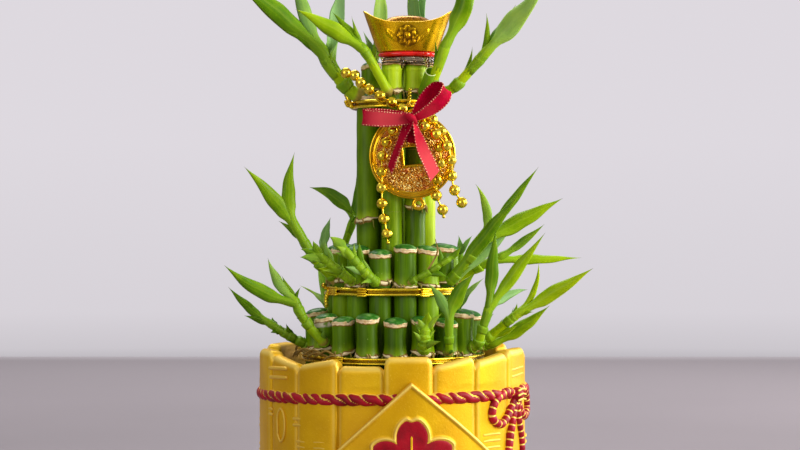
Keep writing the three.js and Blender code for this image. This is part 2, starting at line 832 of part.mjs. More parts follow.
// The boat-shaped ingot: its hull opens to a rim with raised ends, round a hollow with a domed middle.
function ingotSolid() {
  const columns = 24;
  const levels = [
    { x: 14.3, y: 9.9, z: 0, rise: 0 },
    { x: 16.6, y: 10.8, z: 4.5, rise: 0.5 },
    { x: 19.4, y: 11.5, z: 10, rise: 3 },
    { x: 22, y: 12, z: 13.8, rise: 6.5 },
    { x: 20.8, y: 11.1, z: 13.6, rise: 6.2 },
    { x: 15.6, y: 9.4, z: 11.4, rise: 2 },
    { x: 12, y: 7.8, z: 15, rise: 0 },
    { x: 6.6, y: 4.6, z: 17.9, rise: 0 },
  ];
  return loft(levels.map(({ x, y, z, rise }) => {
    const ring = [];
    for (let i = 0; i < columns; i += 1) {
      const angle = (i / columns) * 2 * Math.PI;
      const lift = rise * Math.abs(Math.cos(angle)) ** 3;
      ring.push(new THREE.Vector3(
        ingotCentre.x + x * Math.cos(angle),
        ingotCentre.y + y * Math.sin(angle),
        ingotBottom + z + lift,
      ));
    }
    return ring;
  }));
}

// A ring about Y, for the coin's lugs.
function lug(x, z, outer, inner) {
  const front = coinBack - coinThickness * 0.8;
  const back = coinBack - coinThickness * 0.2;
  const ring = band(inner, outer, -back, -front, 8);
  return ring.rotate([90, 0, 0]).translate([x, 0, z]);
}

// The coin: raised rims, a square frame round a square hole, and a lug at top and bottom.
function coinSolid() {
  const field = coinThickness - 0.6;
  const profile = [
    [0, 0],
    [coinRadius, 0],
    [coinRadius, coinThickness],
    [coinRadius - 1.6, coinThickness],
    [coinRadius - 2.2, field],
    [0, field],
  ];
  const disc = turned(profile, 32).rotate([90, 0, 0]).translate([coinCentre.x, coinBack, coinCentre.z]);
  const turn = new THREE.Matrix4().makeRotationY(radians(-coinTurn));
  const middle = coinCentre.clone().setY(coinBack - coinThickness / 2);
  const frame = block([coinHole + 3.4, coinThickness, coinHole + 3.4], middle, turn);
  const hole = block([coinHole, coinThickness + 4, coinHole], middle, turn);
  const lower = lug(12.5, 176.7, 3.3, 1.4);
  const upper = lug(9.2, 221.2, 2.2, 0.9);
  return joined([disc, frame, lower, upper]).subtract(hole);
}

// The bead string: one run comes down from the left over the tie, and three hang over the coin.
const beadRuns = [
  [
    [-22.9, -20.5, 240.8], [-18.6, -20.8, 239.6], [-15.6, -21.8, 235.9], [-11.4, -23.8, 232.6],
    [-6.2, -27, 229.2], [-0.6, -27.1, 226], [4.4, -27, 222.8], [9.2, -26.3, 219],
  ],
  [
    [9.2, -26.3, 219], [4.6, -26.3, 216], [0.1, -26.3, 212.4], [-3, -26.3, 206.6], [-5.1, -26.3, 200],
    [-5.3, -26.3, 192.4], [-5.3, -26.3, 184.6], [-5.2, -26.3, 176.9], [-4.3, -26.3, 169.4],
    [-2.8, -26.3, 162.1],
  ],
  [
    [9.2, -26.3, 219], [14.2, -26.3, 218.9], [19.2, -26.3, 217.6], [23.4, -26.3, 211.9], [22.8, -26.3, 204.3],
    [23.4, -26.3, 196.6], [21.6, -26.3, 188.4], [21.2, -26.3, 180.8], [24.2, -26.3, 173.9],
  ],
  [
    [9.2, -26.3, 219], [15.4, -27.6, 214.4], [20.6, -31.2, 210.4], [25.9, -30.6, 204.8], [28.2, -27.4, 197.8],
    [28.6, -26.3, 190.4], [30, -26.3, 183.4], [33.5, -26.3, 177.4],
  ],
];

// Each run is one body that swells at its beads and narrows to the thread between them.
function beadRun(centres, firstBead) {
  const sides = 5;
  const threadRadius = 0.6;
  const shoulder = 1.35;
  const shoulderRadius = 2.5;
  const places = [];
  if (!firstBead) places.push([centres[0], centres[1].clone().sub(centres[0]).normalize(), threadRadius]);
  centres.forEach((centre, i) => {
    if (i === 0 && !firstBead) return;
    const before = centres[Math.max(i - 1, 0)];
    const after = centres[Math.min(i + 1, centres.length - 1)];
    const along = after.clone().sub(before).normalize();
    const front = centre.clone().addScaledVector(along, -beadRadius);
    const start = i > 0 ? before.clone().lerp(centre, 0.5) : front;
    const way = i > 0 ? centre.clone().sub(before).normalize() : along;
    places.push([start, way, threadRadius]);
    places.push([centre.clone().addScaledVector(along, -shoulder), along, shoulderRadius]);
    places.push([centre.clone().addScaledVector(along, shoulder), along, shoulderRadius]);
  });
  const [end, way] = [centres.at(-1), centres.at(-1).clone().sub(centres.at(-2)).normalize()];
  places.push([end.clone().addScaledVector(way, beadRadius), way, threadRadius]);
  return loft(places.map(([centre, along, radius]) => {
    const side = new THREE.Vector3(0, 1, 0).addScaledVector(along, -along.y).normalize();
    const face = new THREE.Vector3().crossVectors(along, side);
    const ring = [];
    for (let j = 0; j < sides; j += 1) {
      const angle = (j / sides) * 2 * Math.PI;
      const spoke = side.clone().multiplyScalar(Math.cos(angle)).addScaledVector(face, Math.sin(angle));
      ring.push(centre.clone().addScaledVector(spoke, radius));
    }
    return ring;
  }));
}

// The three hanging runs start from the last bead of the first one.
const beadStringSolid = () => joined(beadRuns.map((run, i) => beadRun(run.map(at), i === 0)));

// The ribbon: a flat strap along a smooth run of points, with its width towards one side.
function strap(points, widthWay, steps) {
  const curve = new THREE.CatmullRomCurve3(points.map(at));
  const rings = [];
  for (let i = 0; i <= steps; i += 1) {
    const centre = curve.getPoint(i / steps);
    const along = curve.getTangent(i / steps);
    const side = widthWay.clone().addScaledVector(along, -widthWay.dot(along)).normalize();
    const face = new THREE.Vector3().crossVectors(along, side);
    const [w, t] = [ribbonWidth / 2, ribbonThickness / 2];
    const corners = [[w, -t], [w, t], [-w, t], [-w, -t]];
    rings.push(corners.map(([across, through]) => (
      centre.clone().addScaledVector(side, across).addScaledVector(face, through)
    )));
  }
  return loft(rings);
}

function ribbonSolid() {
  const knot = ball(new THREE.Vector3(9, -32.4, 217.8), 3.4);
  const leftLoop = strap([
    [8.5, -31.4, 218], [0, -30.8, 218.8], [-10, -30.8, 219], [-14, -31.8, 218.6],
    [-10, -33.2, 218], [0, -33.8, 217.4], [8.5, -33.2, 217.8],
  ], new THREE.Vector3(0.06, 0, 1), 9);
  const rightLoop = strap([
    [10, -32.4, 218.4], [14, -32, 224.4], [21, -31.4, 230.6], [27.2, -32.6, 233],
    [28.2, -34.8, 229.6], [23, -35.8, 224.4], [15, -35.4, 219.6], [9.5, -33.4, 217.6],
  ], new THREE.Vector3(-0.36, -0.78, 0.5), 11);
  const leftTail = strap([
    [9, -32.2, 217.8], [6, -33, 210], [1.5, -32.4, 201], [-2, -31.4, 193],
  ], new THREE.Vector3(1, -0.6, 0), 5);
  const rightTail = strap([
    [9, -32.4, 217.8], [13, -34.6, 209], [17, -34.4, 199], [20.2, -33, 189.6],
  ], new THREE.Vector3(1, 0.5, 0), 5);
  return joined([knot, leftLoop, rightLoop, leftTail, rightTail]);
}

// Assembly. A shoot is cut back where it would come closer than the clearance to another piece.
const pot = potSolid();
const gravel = gravelSolid();
const ties = { lower_tie: lowerTie(), middle_tie: middleTie(), top_tie: topTie() };
const coin = coinSolid();
const beads = beadStringSolid();
const ribbon = ribbonSolid();
const ingot = ingotSolid();
const ingotBase = ovalSlab(29, 20.5, ingotBaseBottom, ingotBaseHeight);
const glue = ovalSlab(27, 19, glueBottom, glueHeight);

const leafyStalks = [
  ...outerShoots.map((shoot) => [outerStalks[shoot.stalk], shoot]),
  ...middleShoots.map((shoot) => [middleStalks[shoot.stalk], shoot]),
  ...innerShoots.map((shoot) => [innerStalks[shoot.stalk], shoot]),
  ...ruledShoots.map((rule) => [rule.stalk, ruledShoot(rule)]),
];

const plant = new THREE.Group();
plant.name = 'lucky_bamboo';

function place(name, solid, material) {
  const mesh = new THREE.Mesh(geometryOf(solid), material);
  mesh.name = name;
  plant.add(mesh);
}

place('pot', pot, goldPaint);
place('gravel_bed', gravel, pebbles);
for (const [name, solid] of Object.entries(ties)) place(name, solid, shinyGold);
place('glue_pad', glue, clearGlue);
place('ingot_base', ingotBase, redLacquer);
place('ingot', ingot, shinyGold);
place('coin', coin, shinyGold);
place('bead_string', beads, shinyGold);
place('ribbon', ribbon, satinRed);

const greens = { outer: outerGreen, middle: middleGreen, inner: innerGreen };
const everyStalk = [...outerStalks, ...middleStalks, ...innerStalks];
const keptClear = [pot, gravel, ...Object.values(ties), glue, ingotBase, ingot, coin, beads, ribbon];
const placedShoots = [];
for (const stalk of everyStalk) {
  let solid = stalkSolid(stalk);
  const found = leafyStalks.find(([owner]) => owner === stalk);
  if (found) {
    const [, shoot] = found;
    const others = everyStalk.filter((other) => other !== stalk).map((other) => stalkSolid(other, clearance));
    let foliage = shootSolid(stalk, shoot);
    for (const obstacle of [...others, ...keptClear, ...placedShoots]) foliage = foliage.subtract(obstacle);
    solid = largestBody(solid.add(foliage));
    placedShoots.push(shootSolid(stalk, shoot, clearance));
  }
  place(stalk.name, solid, greens[stalk.name.split('_')[0]]);
}

export default plant;
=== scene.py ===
import math

import bmesh
import bpy
import numpy as np
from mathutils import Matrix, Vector


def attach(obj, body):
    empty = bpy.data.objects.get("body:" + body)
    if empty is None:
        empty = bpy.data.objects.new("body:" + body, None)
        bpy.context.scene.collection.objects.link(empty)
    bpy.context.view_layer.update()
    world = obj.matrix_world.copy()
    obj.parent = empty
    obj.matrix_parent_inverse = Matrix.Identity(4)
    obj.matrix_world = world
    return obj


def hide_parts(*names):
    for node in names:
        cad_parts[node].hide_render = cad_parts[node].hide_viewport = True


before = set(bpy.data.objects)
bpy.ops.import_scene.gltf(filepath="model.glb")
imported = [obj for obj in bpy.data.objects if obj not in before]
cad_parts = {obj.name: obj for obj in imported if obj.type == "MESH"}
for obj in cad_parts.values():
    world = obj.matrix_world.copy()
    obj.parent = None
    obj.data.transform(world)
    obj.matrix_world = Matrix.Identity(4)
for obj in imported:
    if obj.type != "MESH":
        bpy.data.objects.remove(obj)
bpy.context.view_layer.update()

# Lucky bamboo tower in a moulded gold pot. Lengths are in millimetres until a mesh is made, +Z is up, and
# the front faces -Y. Angles run from the front towards +X.
MM = 0.001

POT_TURN = 6.7
POT_RADIUS = 65.8
POT_INNER_RADIUS = 58.3
POT_FOOT_RADIUS = 61.0
POT_HEIGHT = 105.0
POT_FLOOR = 7.0
ROPE_HEIGHT = 84.2
ROPE_SAG = 1.4
PLAQUE_CENTRE = 55.0
PLAQUE_HALF_WIDTH = 46.0
PLAQUE_HALF_HEIGHT = 38.5
PLAQUE_RADIUS = 69.2
PLAQUE_FIELD_RADIUS = 68.3
FRONT_LIMIT = 69.65
PETAL_CENTRE = 12.6
PETAL_RADIUS = 9.3
CORNER_REACH = 3.0
GROOVE_WIDTH = 0.55
RIM_ROUNDING = 3.4
LEVEL_TOP = 90.0
BOW_STRAND = 3.6
ROPE_STRANDS = 63
ROPE_COLUMNS = 945
BUNDLE_FOOT = 7.3
BUNDLE_HOLE = 44.8
GRAVEL_TOP = 88.0
GRAVEL_STONES = 420
STALK_SIDES = 36
STEM_SIDES = 16
STEM_STEPS = 60
BLADE_COLUMNS = 11
INNER_CENTRE = (1.8, -1.5)
INNER_JOINT = 232.7
JOINT_FLARE = 0.4
TOP_TIE_RADIUS = 20.85
MIDDLE_TIE_RADIUS = 33.3
LOWER_TIE_RADIUS = 44.8
BEAD_RADIUS = 2.75
BEAD_FRONT = -26.3
RIBBON_WIDTH = 8.0
COIN_CENTRE = (9.55, 200.3)
COIN_BACK = -20.7
COIN_THICKNESS = 2.2
COIN_RADIUS = 21.2
COIN_HOLE = 8.3
COIN_TURN = 6.0
COIN_RELIEF = 0.62
INGOT_CENTRE = (7.2, -8.0)
INNER_TOP = 246.5
SEAT_GAP = 0.3
GLUE_BOTTOM = INNER_TOP + SEAT_GAP
GLUE_HEIGHT = 2.4
INGOT_BASE_BOTTOM = GLUE_BOTTOM + GLUE_HEIGHT + SEAT_GAP
INGOT_BASE_HEIGHT = 2.2
INGOT_BOTTOM = INGOT_BASE_BOTTOM + INGOT_BASE_HEIGHT + SEAT_GAP
ROSETTE_HEIGHT = 7.4
# Rows of the ingot's surface: first and last of the ornament, and first of the dome
ORNAMENT_START, ORNAMENT_END, DOME_START = 13, 45, 61
# Behind this Y the leaves begin to look up and inwards, over a span in Y.
REAR_START = 4.0
REAR_SPAN = 12.0
# The value "ring" of points that lie far from every joint
NO_JOINT = 60.0
# Starting numbers of the repeatable draws. Each stalk adds a share of its own to the last three.
WALL_SEED, STONE_SEED, HUSK_SEED, OVAL_SEED = 41, 77, 61, 3
STALK_SEED, SPIKE_SEED, SHOOT_SEED = 500, 700, 900


def vector(*values):
    return np.array(values, dtype=float)


UP = vector(0, 0, 1)


def unit(v):
    v = np.asarray(v, dtype=float)
    return v / np.maximum(np.linalg.norm(v, axis=-1, keepdims=True), 1e-9)


def smooth(low, high, value):
    """0 below low, 1 above high, and a soft step between them."""
    t = np.clip((np.asarray(value, dtype=float) - low) / (high - low), 0, 1)
    return t * t * (3 - 2 * t)


def hump(value, width):
    """1 where the value is 0, and less on both sides of it."""
    return np.exp(-((value / width) ** 2))


def fractions(count):
    return np.linspace(0, 1, count)


def full_turn(count):
    return np.linspace(0, 2 * math.pi, count, endpoint=False)


def xyz(x, y, z):
    return np.stack(np.broadcast_arrays(x, y, z), axis=-1).astype(float)


def around(radius, degrees, height):
    """Points at radii and angles from the front towards +X."""
    angle = np.radians(degrees)
    return xyz(radius * np.sin(angle), -radius * np.cos(angle), height)


def spun(points, angle):
    """Points turned about the upright axis."""
    x, y, z = np.moveaxis(points, -1, 0)
    c, s = math.cos(angle), math.sin(angle)
    return xyz(x * c - y * s, x * s + y * c, z)


def draws_from(seed):
    """A repeatable run of numbers between 0 and 1."""
    state = seed
    while True:
        state = (state * 16807) % 2147483647
        yield state / 2147483647


def spline(points, shares):
    """Points of a smooth curve through the given ones, at shares of its way or at a number of even ones."""
    shares = fractions(shares) if isinstance(shares, int) else shares
    points = np.asarray(points, dtype=float)
    last = len(points) - 1
    padded = np.vstack([2 * points[0] - points[1], points, 2 * points[-1] - points[-2]])
    place = np.clip(shares, 0, 1) * last
    i = np.minimum(place.astype(int), last - 1)
    w = (place - i)[:, None]
    a, b, c, d = (padded[i + k] for k in range(4))
    ab, bc, cd = (
        np.maximum(np.sum(gap**2, axis=1, keepdims=True) ** 0.25, 1e-4) for gap in (b - a, c - b, d - c)
    )
    start = ((b - a) / ab - (c - a) / (ab + bc) + (c - b) / bc) * bc
    end = ((c - b) / bc - (d - b) / (bc + cd) + (d - c) / cd) * bc
    third = -3 * b + 3 * c - 2 * start - end
    return b + start * w + third * w**2 + (2 * b - 2 * c + start + end) * w**3


def headings(points, closed=False):
    """The way of a run of points at each of them."""
    if closed:
        return unit(np.roll(points, -1, axis=0) - np.roll(points, 1, axis=0))
    return unit(np.gradient(points, axis=0))


def lengths(path):
    """How far each point of a path lies from its start."""
    return np.append(0, np.cumsum(np.linalg.norm(np.diff(path, axis=0), axis=1)))


def beside(path, *moves):
    """A grid of points: each point of a path, moved by rows of distances along vectors of its own."""
    grid = path[:, None]
    for ways, distances in moves:
        grid = grid + ways[:, None] * distances[..., None]
    return grid


class Shape:
    """The surfaces of one piece, with named values at their points for the materials."""

    def __init__(self, *names):
        self.points, self.faces, self.kinds = [], [], []
        self.values = {name: [] for name in names}
        self.count = 0

    def sheet(self, points, kind=0, wrap=True, closed=False, capped=False, **values):
        """A grid of points. wrap joins its last column to the first, and closed its last row."""
        rows, columns = points.shape[:2]
        start = self.count
        self.count += rows * columns
        self.points.append(points.reshape(-1, 3))
        for name, kept in self.values.items():
            kept.append(np.broadcast_to(values.get(name, 0.0), (rows, columns)).reshape(-1).astype(float))
        i = np.arange(rows if closed else rows - 1)[:, None]
        j = np.arange(columns if wrap else columns - 1)
        near, far, right = start + i * columns, start + (i + 1) % rows * columns, (j + 1) % columns
        corners = np.broadcast_arrays(near + j, near + right, far + right, far + j)
        faces = np.stack(corners, axis=-1).reshape(-1, 4).tolist()
        if capped:
            first = list(range(start, start + columns))
            faces += [first[::-1], [c + (rows - 1) * columns for c in first]]
        self.faces += faces
        self.kinds += [kind] * len(faces)

    def tube(self, path, radius, sides=12, kind=0, closed=False, flat=1.0, **values):
        """A rod along a run of points. Its radius may change along and round it, and its ends are rounded."""
        path, radius = np.asarray(path, dtype=float), np.asarray(radius, dtype=float)
        radius = radius[:, None] if radius.ndim == 1 else radius
        radius = np.broadcast_to(radius, (len(path), sides))
        ways = headings(path, closed)
        side = unit(np.cross(ways, vector(0.13, 0.31, 0.94)))
        other = np.cross(ways, side)

        def ended(rows):
            return np.vstack([rows[:1], rows[:1], rows, rows[-1:], rows[-1:]])

        if not closed:
            before = [path[0] + ways[0] * radius[0].mean() * s for s in (-0.9, -0.6)]
            after = [path[-1] + ways[-1] * radius[-1].mean() * s for s in (0.6, 0.9)]
            path = np.vstack([before, path, after])
            radius = ended(radius)
            radius[[0, -1]] *= 0.35
            radius[[1, -2]] *= 0.75
            side, other = ended(side), ended(other)
            for name, value in values.items():
                value = np.asarray(value, dtype=float)
                if value.ndim:
                    values[name] = ended(value[:, None] if value.ndim == 1 else value)
        turn = full_turn(sides)[:, None]
        spokes = side[:, None] * np.cos(turn) + other[:, None] * (np.sin(turn) * flat)
        points = path[:, None] + spokes * radius[..., None]
        self.sheet(points, kind, closed=closed, capped=not closed, **values)

    def strip(self, surface, across, thick, kind=0, **values):
        """A thin band. surface gives its points at a distance off its middle."""
        section = np.concatenate([surface(thick), surface(-thick)[:, -2:0:-1]], axis=1)
        self.sheet(section, kind, capped=True, across=np.append(across, across[-2:0:-1]), **values)

    def ball(self, centre, radius, rings=10, sides=20, squash=1.0, **values):
        """A ball whose poles lie up and down."""
        lift = np.linspace(-math.pi / 2, math.pi / 2, rings + 2)[1:-1, None]
        turn = full_turn(sides)
        spread = xyz(np.cos(lift) * np.cos(turn), np.cos(lift) * np.sin(turn), np.sin(lift) * squash)
        self.sheet(np.asarray(centre, dtype=float) + spread * radius, capped=True, **values)

    def turned(self, profile, sides, centre=(0, 0), closed=False, **values):
        """A surface of rotation about Z from radius and height pairs."""
        reach, height = np.asarray(profile, dtype=float).T[..., None]
        turn = full_turn(sides)
        points = xyz(centre[0] + reach * np.cos(turn), centre[1] + reach * np.sin(turn), height)
        self.sheet(points, closed=closed, capped=not closed, **values)

    def piece(self, name, looks, slot, node):
        """Makes the mesh, and ties it to the frame."""
        mesh = bpy.data.meshes.new(name)
        mesh.from_pydata((np.vstack(self.points) * MM).tolist(), [], self.faces)
        mesh.polygons.foreach_set("material_index", self.kinds)
        mesh.polygons.foreach_set("use_smooth", [True] * len(mesh.polygons))
        for value_name, kept in self.values.items():
            layer = mesh.attributes.new(value_name, "FLOAT", "POINT")
            layer.data.foreach_set("value", np.concatenate(kept).astype(np.float32))
        for look in looks:
            mesh.materials.append(look)
        edit = bmesh.new()
        edit.from_mesh(mesh)
        bmesh.ops.recalc_face_normals(edit, faces=edit.faces)
        edit.to_mesh(mesh)
        edit.free()
        mesh.update()
        made = placed(name, mesh)
        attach(made, "root")
        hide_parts(node)


def placed(name, data):
    """A new object in the scene."""
    made = bpy.data.objects.new(name, data)
    bpy.context.scene.collection.objects.link(made)
    return made


def colour(code):
    """A linear colour from a hexadecimal screen colour. Other values stay as they are."""
    if not isinstance(code, str):
        return code
    parts = [int(code[i : i + 2], 16) / 255 for i in (1, 3, 5)]
    return tuple(c / 12.92 if c <= 0.04045 else ((c + 0.055) / 1.055) ** 2.4 for c in parts) + (1.0,)


class Value:
    """An output of a node. Its sums and products are Math nodes."""

    def __init__(self, nodes, socket):
        self.nodes, self.socket = nodes, socket

    def __add__(self, other):
        return self.nodes.math("ADD", self, other)

    def __sub__(self, other):
        return self.nodes.math("SUBTRACT", self, other)

    def __mul__(self, other):
        return self.nodes.math("MULTIPLY", self, other)

    def __truediv__(self, other):
        return self.nodes.math("DIVIDE", self, other)

    def __abs__(self):
        return self.nodes.math("ABSOLUTE", self)


class Nodes:
    """Short calls for the nodes of a tree."""

    def __init__(self, tree):
        self.tree = tree

    def feed(self, socket, value):
        if isinstance(value, Value):
            self.tree.links.new(value.socket, socket)
        else:
            socket.default_value = colour(value)

    def feed_named(self, node, values):
        """Feeds a node's inputs by name, with _ for the spaces in their names."""
        for name, value in values.items():
            self.feed(node.inputs[name.replace("_", " ")], value)

    def made(self, kind, result, **inputs):
        """The output of a new node."""
        node = self.tree.nodes.new("ShaderNode" + kind)
        self.feed_named(node, inputs)
        return Value(self, node.outputs[result])

    def math(self, operation, *values):
        node = self.tree.nodes.new("ShaderNodeMath")
        node.operation = operation
        for socket, value in zip(node.inputs, values):
            self.feed(socket, value)
        return Value(self, node.outputs[0])

    def step(self, value, low, high, start=0.0, end=1.0):
        made = self.made("MapRange", "Result", Value=value, From_Min=low, From_Max=high,
                         To_Min=start, To_Max=end)
        made.socket.node.interpolation_type = "SMOOTHSTEP"
        return made

    def mix(self, share, a, b):
        node = self.tree.nodes.new("ShaderNodeMix")
        node.data_type = "RGBA"
        for place, value in ((0, share), (6, a), (7, b)):
            self.feed(node.inputs[place], value)
        return Value(self, node.outputs[2])

    def ramp(self, value, *stops):
        node = self.tree.nodes.new("ShaderNodeValToRGB")
        self.feed(node.inputs[0], value)
        ends = node.color_ramp.elements
        while len(ends) < len(stops):
            ends.new(0.5)
        for element, (place, code) in zip(ends, stops):
            element.position = place
            element.color = colour(code)
        return Value(self, node.outputs["Color"])


class Look(Nodes):
    """One material. Its colour is built up in base, from the ground to what lies over it."""

    def __init__(self, name, **constants):
        self.material = bpy.data.materials.new(name)
        self.material.use_nodes = True
        super().__init__(self.material.node_tree)
        self.tree.nodes.clear()
        self.shader = self.tree.nodes.new("ShaderNodeBsdfPrincipled")
        output = self.tree.nodes.new("ShaderNodeOutputMaterial")
        self.tree.links.new(self.shader.outputs[0], output.inputs["Surface"])
        self.feed_named(self.shader, constants)
        self.place = self.made("TexCoord", "Object")

    def value(self, name):
        made = self.made("Attribute", "Fac")
        made.socket.node.attribute_name = name
        return made

    def stretched(self, scales):
        return self.made("Mapping", 0, Vector=self.place, Scale=scales) if scales else self.place

    def noise(self, scale, detail=2.0, stretch=None):
        return self.made("TexNoise", "Fac", Vector=self.stretched(stretch), Scale=scale, Detail=detail)

    def cells(self, scale, stretch=None):
        return self.made("TexVoronoi", "Distance", Vector=self.stretched(stretch), Scale=scale)

    def over(self, share, top):
        """Lays a colour over the base."""
        self.base = self.mix(share, self.base, top)

    def done(self, height=None, strength=0.0, depth=0.0, **values):
        """Feeds the shader, with a relief if a height is given, and returns the material."""
        if height:
            values["Normal"] = self.made("Bump", 0, Height=height, Strength=strength, Distance=depth)
        self.feed_named(self.shader, dict(values, Base_Color=self.base))
        return self.material


def pot_look():
    look = Look("pot_gold_paint", Specular_IOR_Level=0.25)
    red = look.step(look.value("paint"), 0.42, 0.58)
    broad, grain = look.noise(45, 3), look.noise(1700)
    look.base = look.ramp(broad, (0.3, "#d49e00"), (0.52, "#e2ae00"), (0.72, "#eebe08"))
    # Painted highlight: paler gold laid on raised edges, the rim's rounding, the plaque's edge and the raised
    # reliefs, where light catches them.
    look.over(look.value("worn") * 0.7, "#ffe67e")
    # Painted shade: darker brown gold in the grooves between slips, under the rim and down the inside wall
    # and floor.
    look.over(look.step(look.value("hollow"), 0.2, 1, 0, 0.75), "#7c5406")
    look.over(look.step(grain, 0.58, 0.75, 0, 0.35), "#ffde4a")
    look.over(red, look.ramp(look.noise(160, 3), (0.3, "#7c0010"), (0.55, "#9e0018"), (0.75, "#b40a22")))
    relief = broad * 0.9 + grain * 0.12 + look.noise(260, 3) * 0.3 + look.noise(850) * 0.28
    return look.done(relief, 0.3, 0.0009, Metallic=red * -0.4 + 0.4,
                     Roughness=look.step(grain, 0.3, 0.7, 0.4, 0.52))


def gravel_look():
    look = Look("gravel_stone", Roughness=0.8)
    stops = ((0.1, "#6b6459"), (0.45, "#948b7c"), (0.75, "#b3a998"), (0.95, "#7d7167"))
    look.base = look.ramp(look.value("tone"), *stops)
    look.over(look.step(look.noise(900, 3), 0.55, 0.7), "#d3cbbd")
    return look.done(look.noise(1200, 4), 0.5, 0.0006)


def stalk_look(name, dark, middle, light):
    """Bamboo skin: streaks, a wax cap on the cut, a pale edge under it and pale rings at the joints."""
    look = Look(name, Specular_IOR_Level=0.17)
    streaks = look.noise(1, 3, (1000, 1000, 40))
    blotches = look.noise(130, 3, (1, 1, 0.35))
    share = streaks * 0.32 + blotches * 0.3 + look.value("tone") * 0.45 + 0.14
    look.base = look.ramp(share, (0.36, dark), (0.62, middle), (0.92, light))
    ring = look.value("ring") + look.noise(420, 3) * 1.6 - 0.8
    # Painted shade: a darker green band under each joint line, fading out about 9 mm below it.
    look.over(look.step(ring, -9, -0.4, 0, 0.6) * look.step(ring, 0.2, -0.2), "#1c3a06")
    look.over(look.step(ring, 6.5, 0.3) * look.step(ring, -0.1, 0.2) * 0.45, light)
    speck = look.step(look.cells(700, (1, 1, 0.6)), 0.13, 0.06)
    look.over(speck * look.step(look.noise(150), 0.5, 0.62), "#a9c860")
    scar = abs(ring) / look.step(look.noise(200, 3), 0.32, 0.68, 0.26, 0.95)
    look.over(look.step(scar, 2.4, 1.3), "#7a5a26")
    look.over(look.step(scar, 1.05, 0.65), "#efdcae")
    down = look.value("down") + look.noise(330, 3) * 2.2 - 1.1
    peel = look.value("peel") * look.step(down, 7.4, 6)
    look.over(peel * look.step(look.noise(180), 0.36, 0.46), "#d2c6b2")
    look.over(look.step(down, 4.5, 4) * 0.9, "#8a5c22")
    look.over(look.step(down, 3.9, 3.6), look.ramp(look.noise(500), (0.35, "#e3bd84"), (0.6, "#f6e0b4")))
    wax = look.ramp(look.noise(300, 4), (0.3, "#1c4c12"), (0.52, "#34721e"), (0.75, "#7ea65a"))
    look.over(look.step(down, 2.1, 1.85), wax)
    ripples = look.noise(300, 2, (1, 1, 0.2))
    relief = streaks * 0.5 + look.math("MINIMUM", scar, 2.5) * -0.2 + ripples * 0.3
    return look.done(relief, 0.25, 0.0004, Roughness=look.step(blotches, 0.3, 0.7, 0.3, 0.46))


def leaf_look():
    """Leaves and shoots: fine veins along the blade, a paler underside, and dark tips."""
    look = Look("leaf_green", Specular_IOR_Level=0.11)
    along, across = look.value("along"), look.value("across")
    blotches = look.noise(110, 3)
    fibres = look.noise(1, 2, (520, 520, 60))
    # across * 0.05 is painted light: one half of each blade a little lighter than the other.
    share = look.value("tone") * 0.85 + blotches * 0.56 + across * 0.05 + fibres * 0.12 - 0.36
    stops = ((0.02, "#294e00"), (0.28, "#4d7a00"), (0.55, "#84a600"), (0.8, "#a8c400"), (1.0, "#cce010"))
    look.base = look.ramp(share, *stops)
    look.over(look.step(along, 0.42, 0.16, 0, 0.34), "#9ac428")
    veins = look.math("SINE", across * 13)
    look.over(look.step(veins, 0.2, 1, 0, 0.05), "#d8ea30")
    look.over(look.step(abs(across), 0.1, 0.02, 0, 0.12), "#cfe050")
    look.over(look.step(abs(across), 0.86, 1, 0, 0.3) * look.step(along, 0.12, 0.3), "#c6da38")
    look.over(look.value("under") * 0.1, "#8cb41c")
    look.over(look.value("pale") * 0.75, "#a2d290")
    look.over(look.step(along, 0.93, 1, 0, 0.75), "#5a5a12")
    look.over(look.value("collar"), "#a8874a")
    look.over(look.step(look.value("lip"), 0.4, 0.9), "#dbe6a4")
    relief = veins * 0.1 + blotches * 1.2 + fibres * 0.1
    return look.done(relief, 0.12, 0.0004, Roughness=look.step(blotches, 0.3, 0.7, 0.3, 0.42))


def shiny_gold(name, grain_strength, dark, light, roughness):
    look = Look(name, Metallic=1.0)
    grain = look.noise(300)
    share = grain * 0.35 + look.noise(110, 3) * 0.65
    look.base = look.ramp(share, (0.32, dark), (0.5, light), (0.75, "#ffe45a"))
    look.over(look.value("dark"), "#3c1e02")
    return look.done(grain, grain_strength, 0.0004,
                     Roughness=look.step(grain, 0.3, 0.7, roughness, roughness + 0.1))


def ingot_look():
    """Foil gold with fine grain. The dome is darker and more orange than the hull."""
    look = Look("ingot_foil_gold", Metallic=0.9)
    grain = look.noise(1500)
    look.base = look.ramp(look.noise(90), (0.3, "#c98f06"), (0.5, "#e6b00a"), (0.72, "#f6c81a"))
    look.over(look.value("dome"), look.ramp(grain, (0.35, "#6c3e04"), (0.62, "#c0840e")))
    look.over(look.value("dark"), "#5a3402")
    return look.done(grain, 0.07, 0.0004, Roughness=look.step(grain, 0.3, 0.7, 0.24, 0.34))


def coin_look():
    """Polished rims, and a field of glittering grains."""
    look = Look("coin_gold")
    field = look.value("field")
    spark = look.noise(1500)
    grains = look.ramp(spark, (0.34, "#7c3a04"), (0.47, "#c97a0c"), (0.56, "#f0b41e"), (0.68, "#fff0a0"))
    look.base = look.ramp(look.noise(120), (0.3, "#eeaa0a"), (0.6, "#ffd030"))
    look.over(field, look.mix(look.step(look.noise(170), 0.5, 0.66, 0, 0.5), grains, "#d8501a"))
    return look.done((look.cells(1000) + spark) * field, 0.8, 0.0007, Metallic=field * -0.45 + 1,
                     Roughness=field * 0.12 + 0.14)


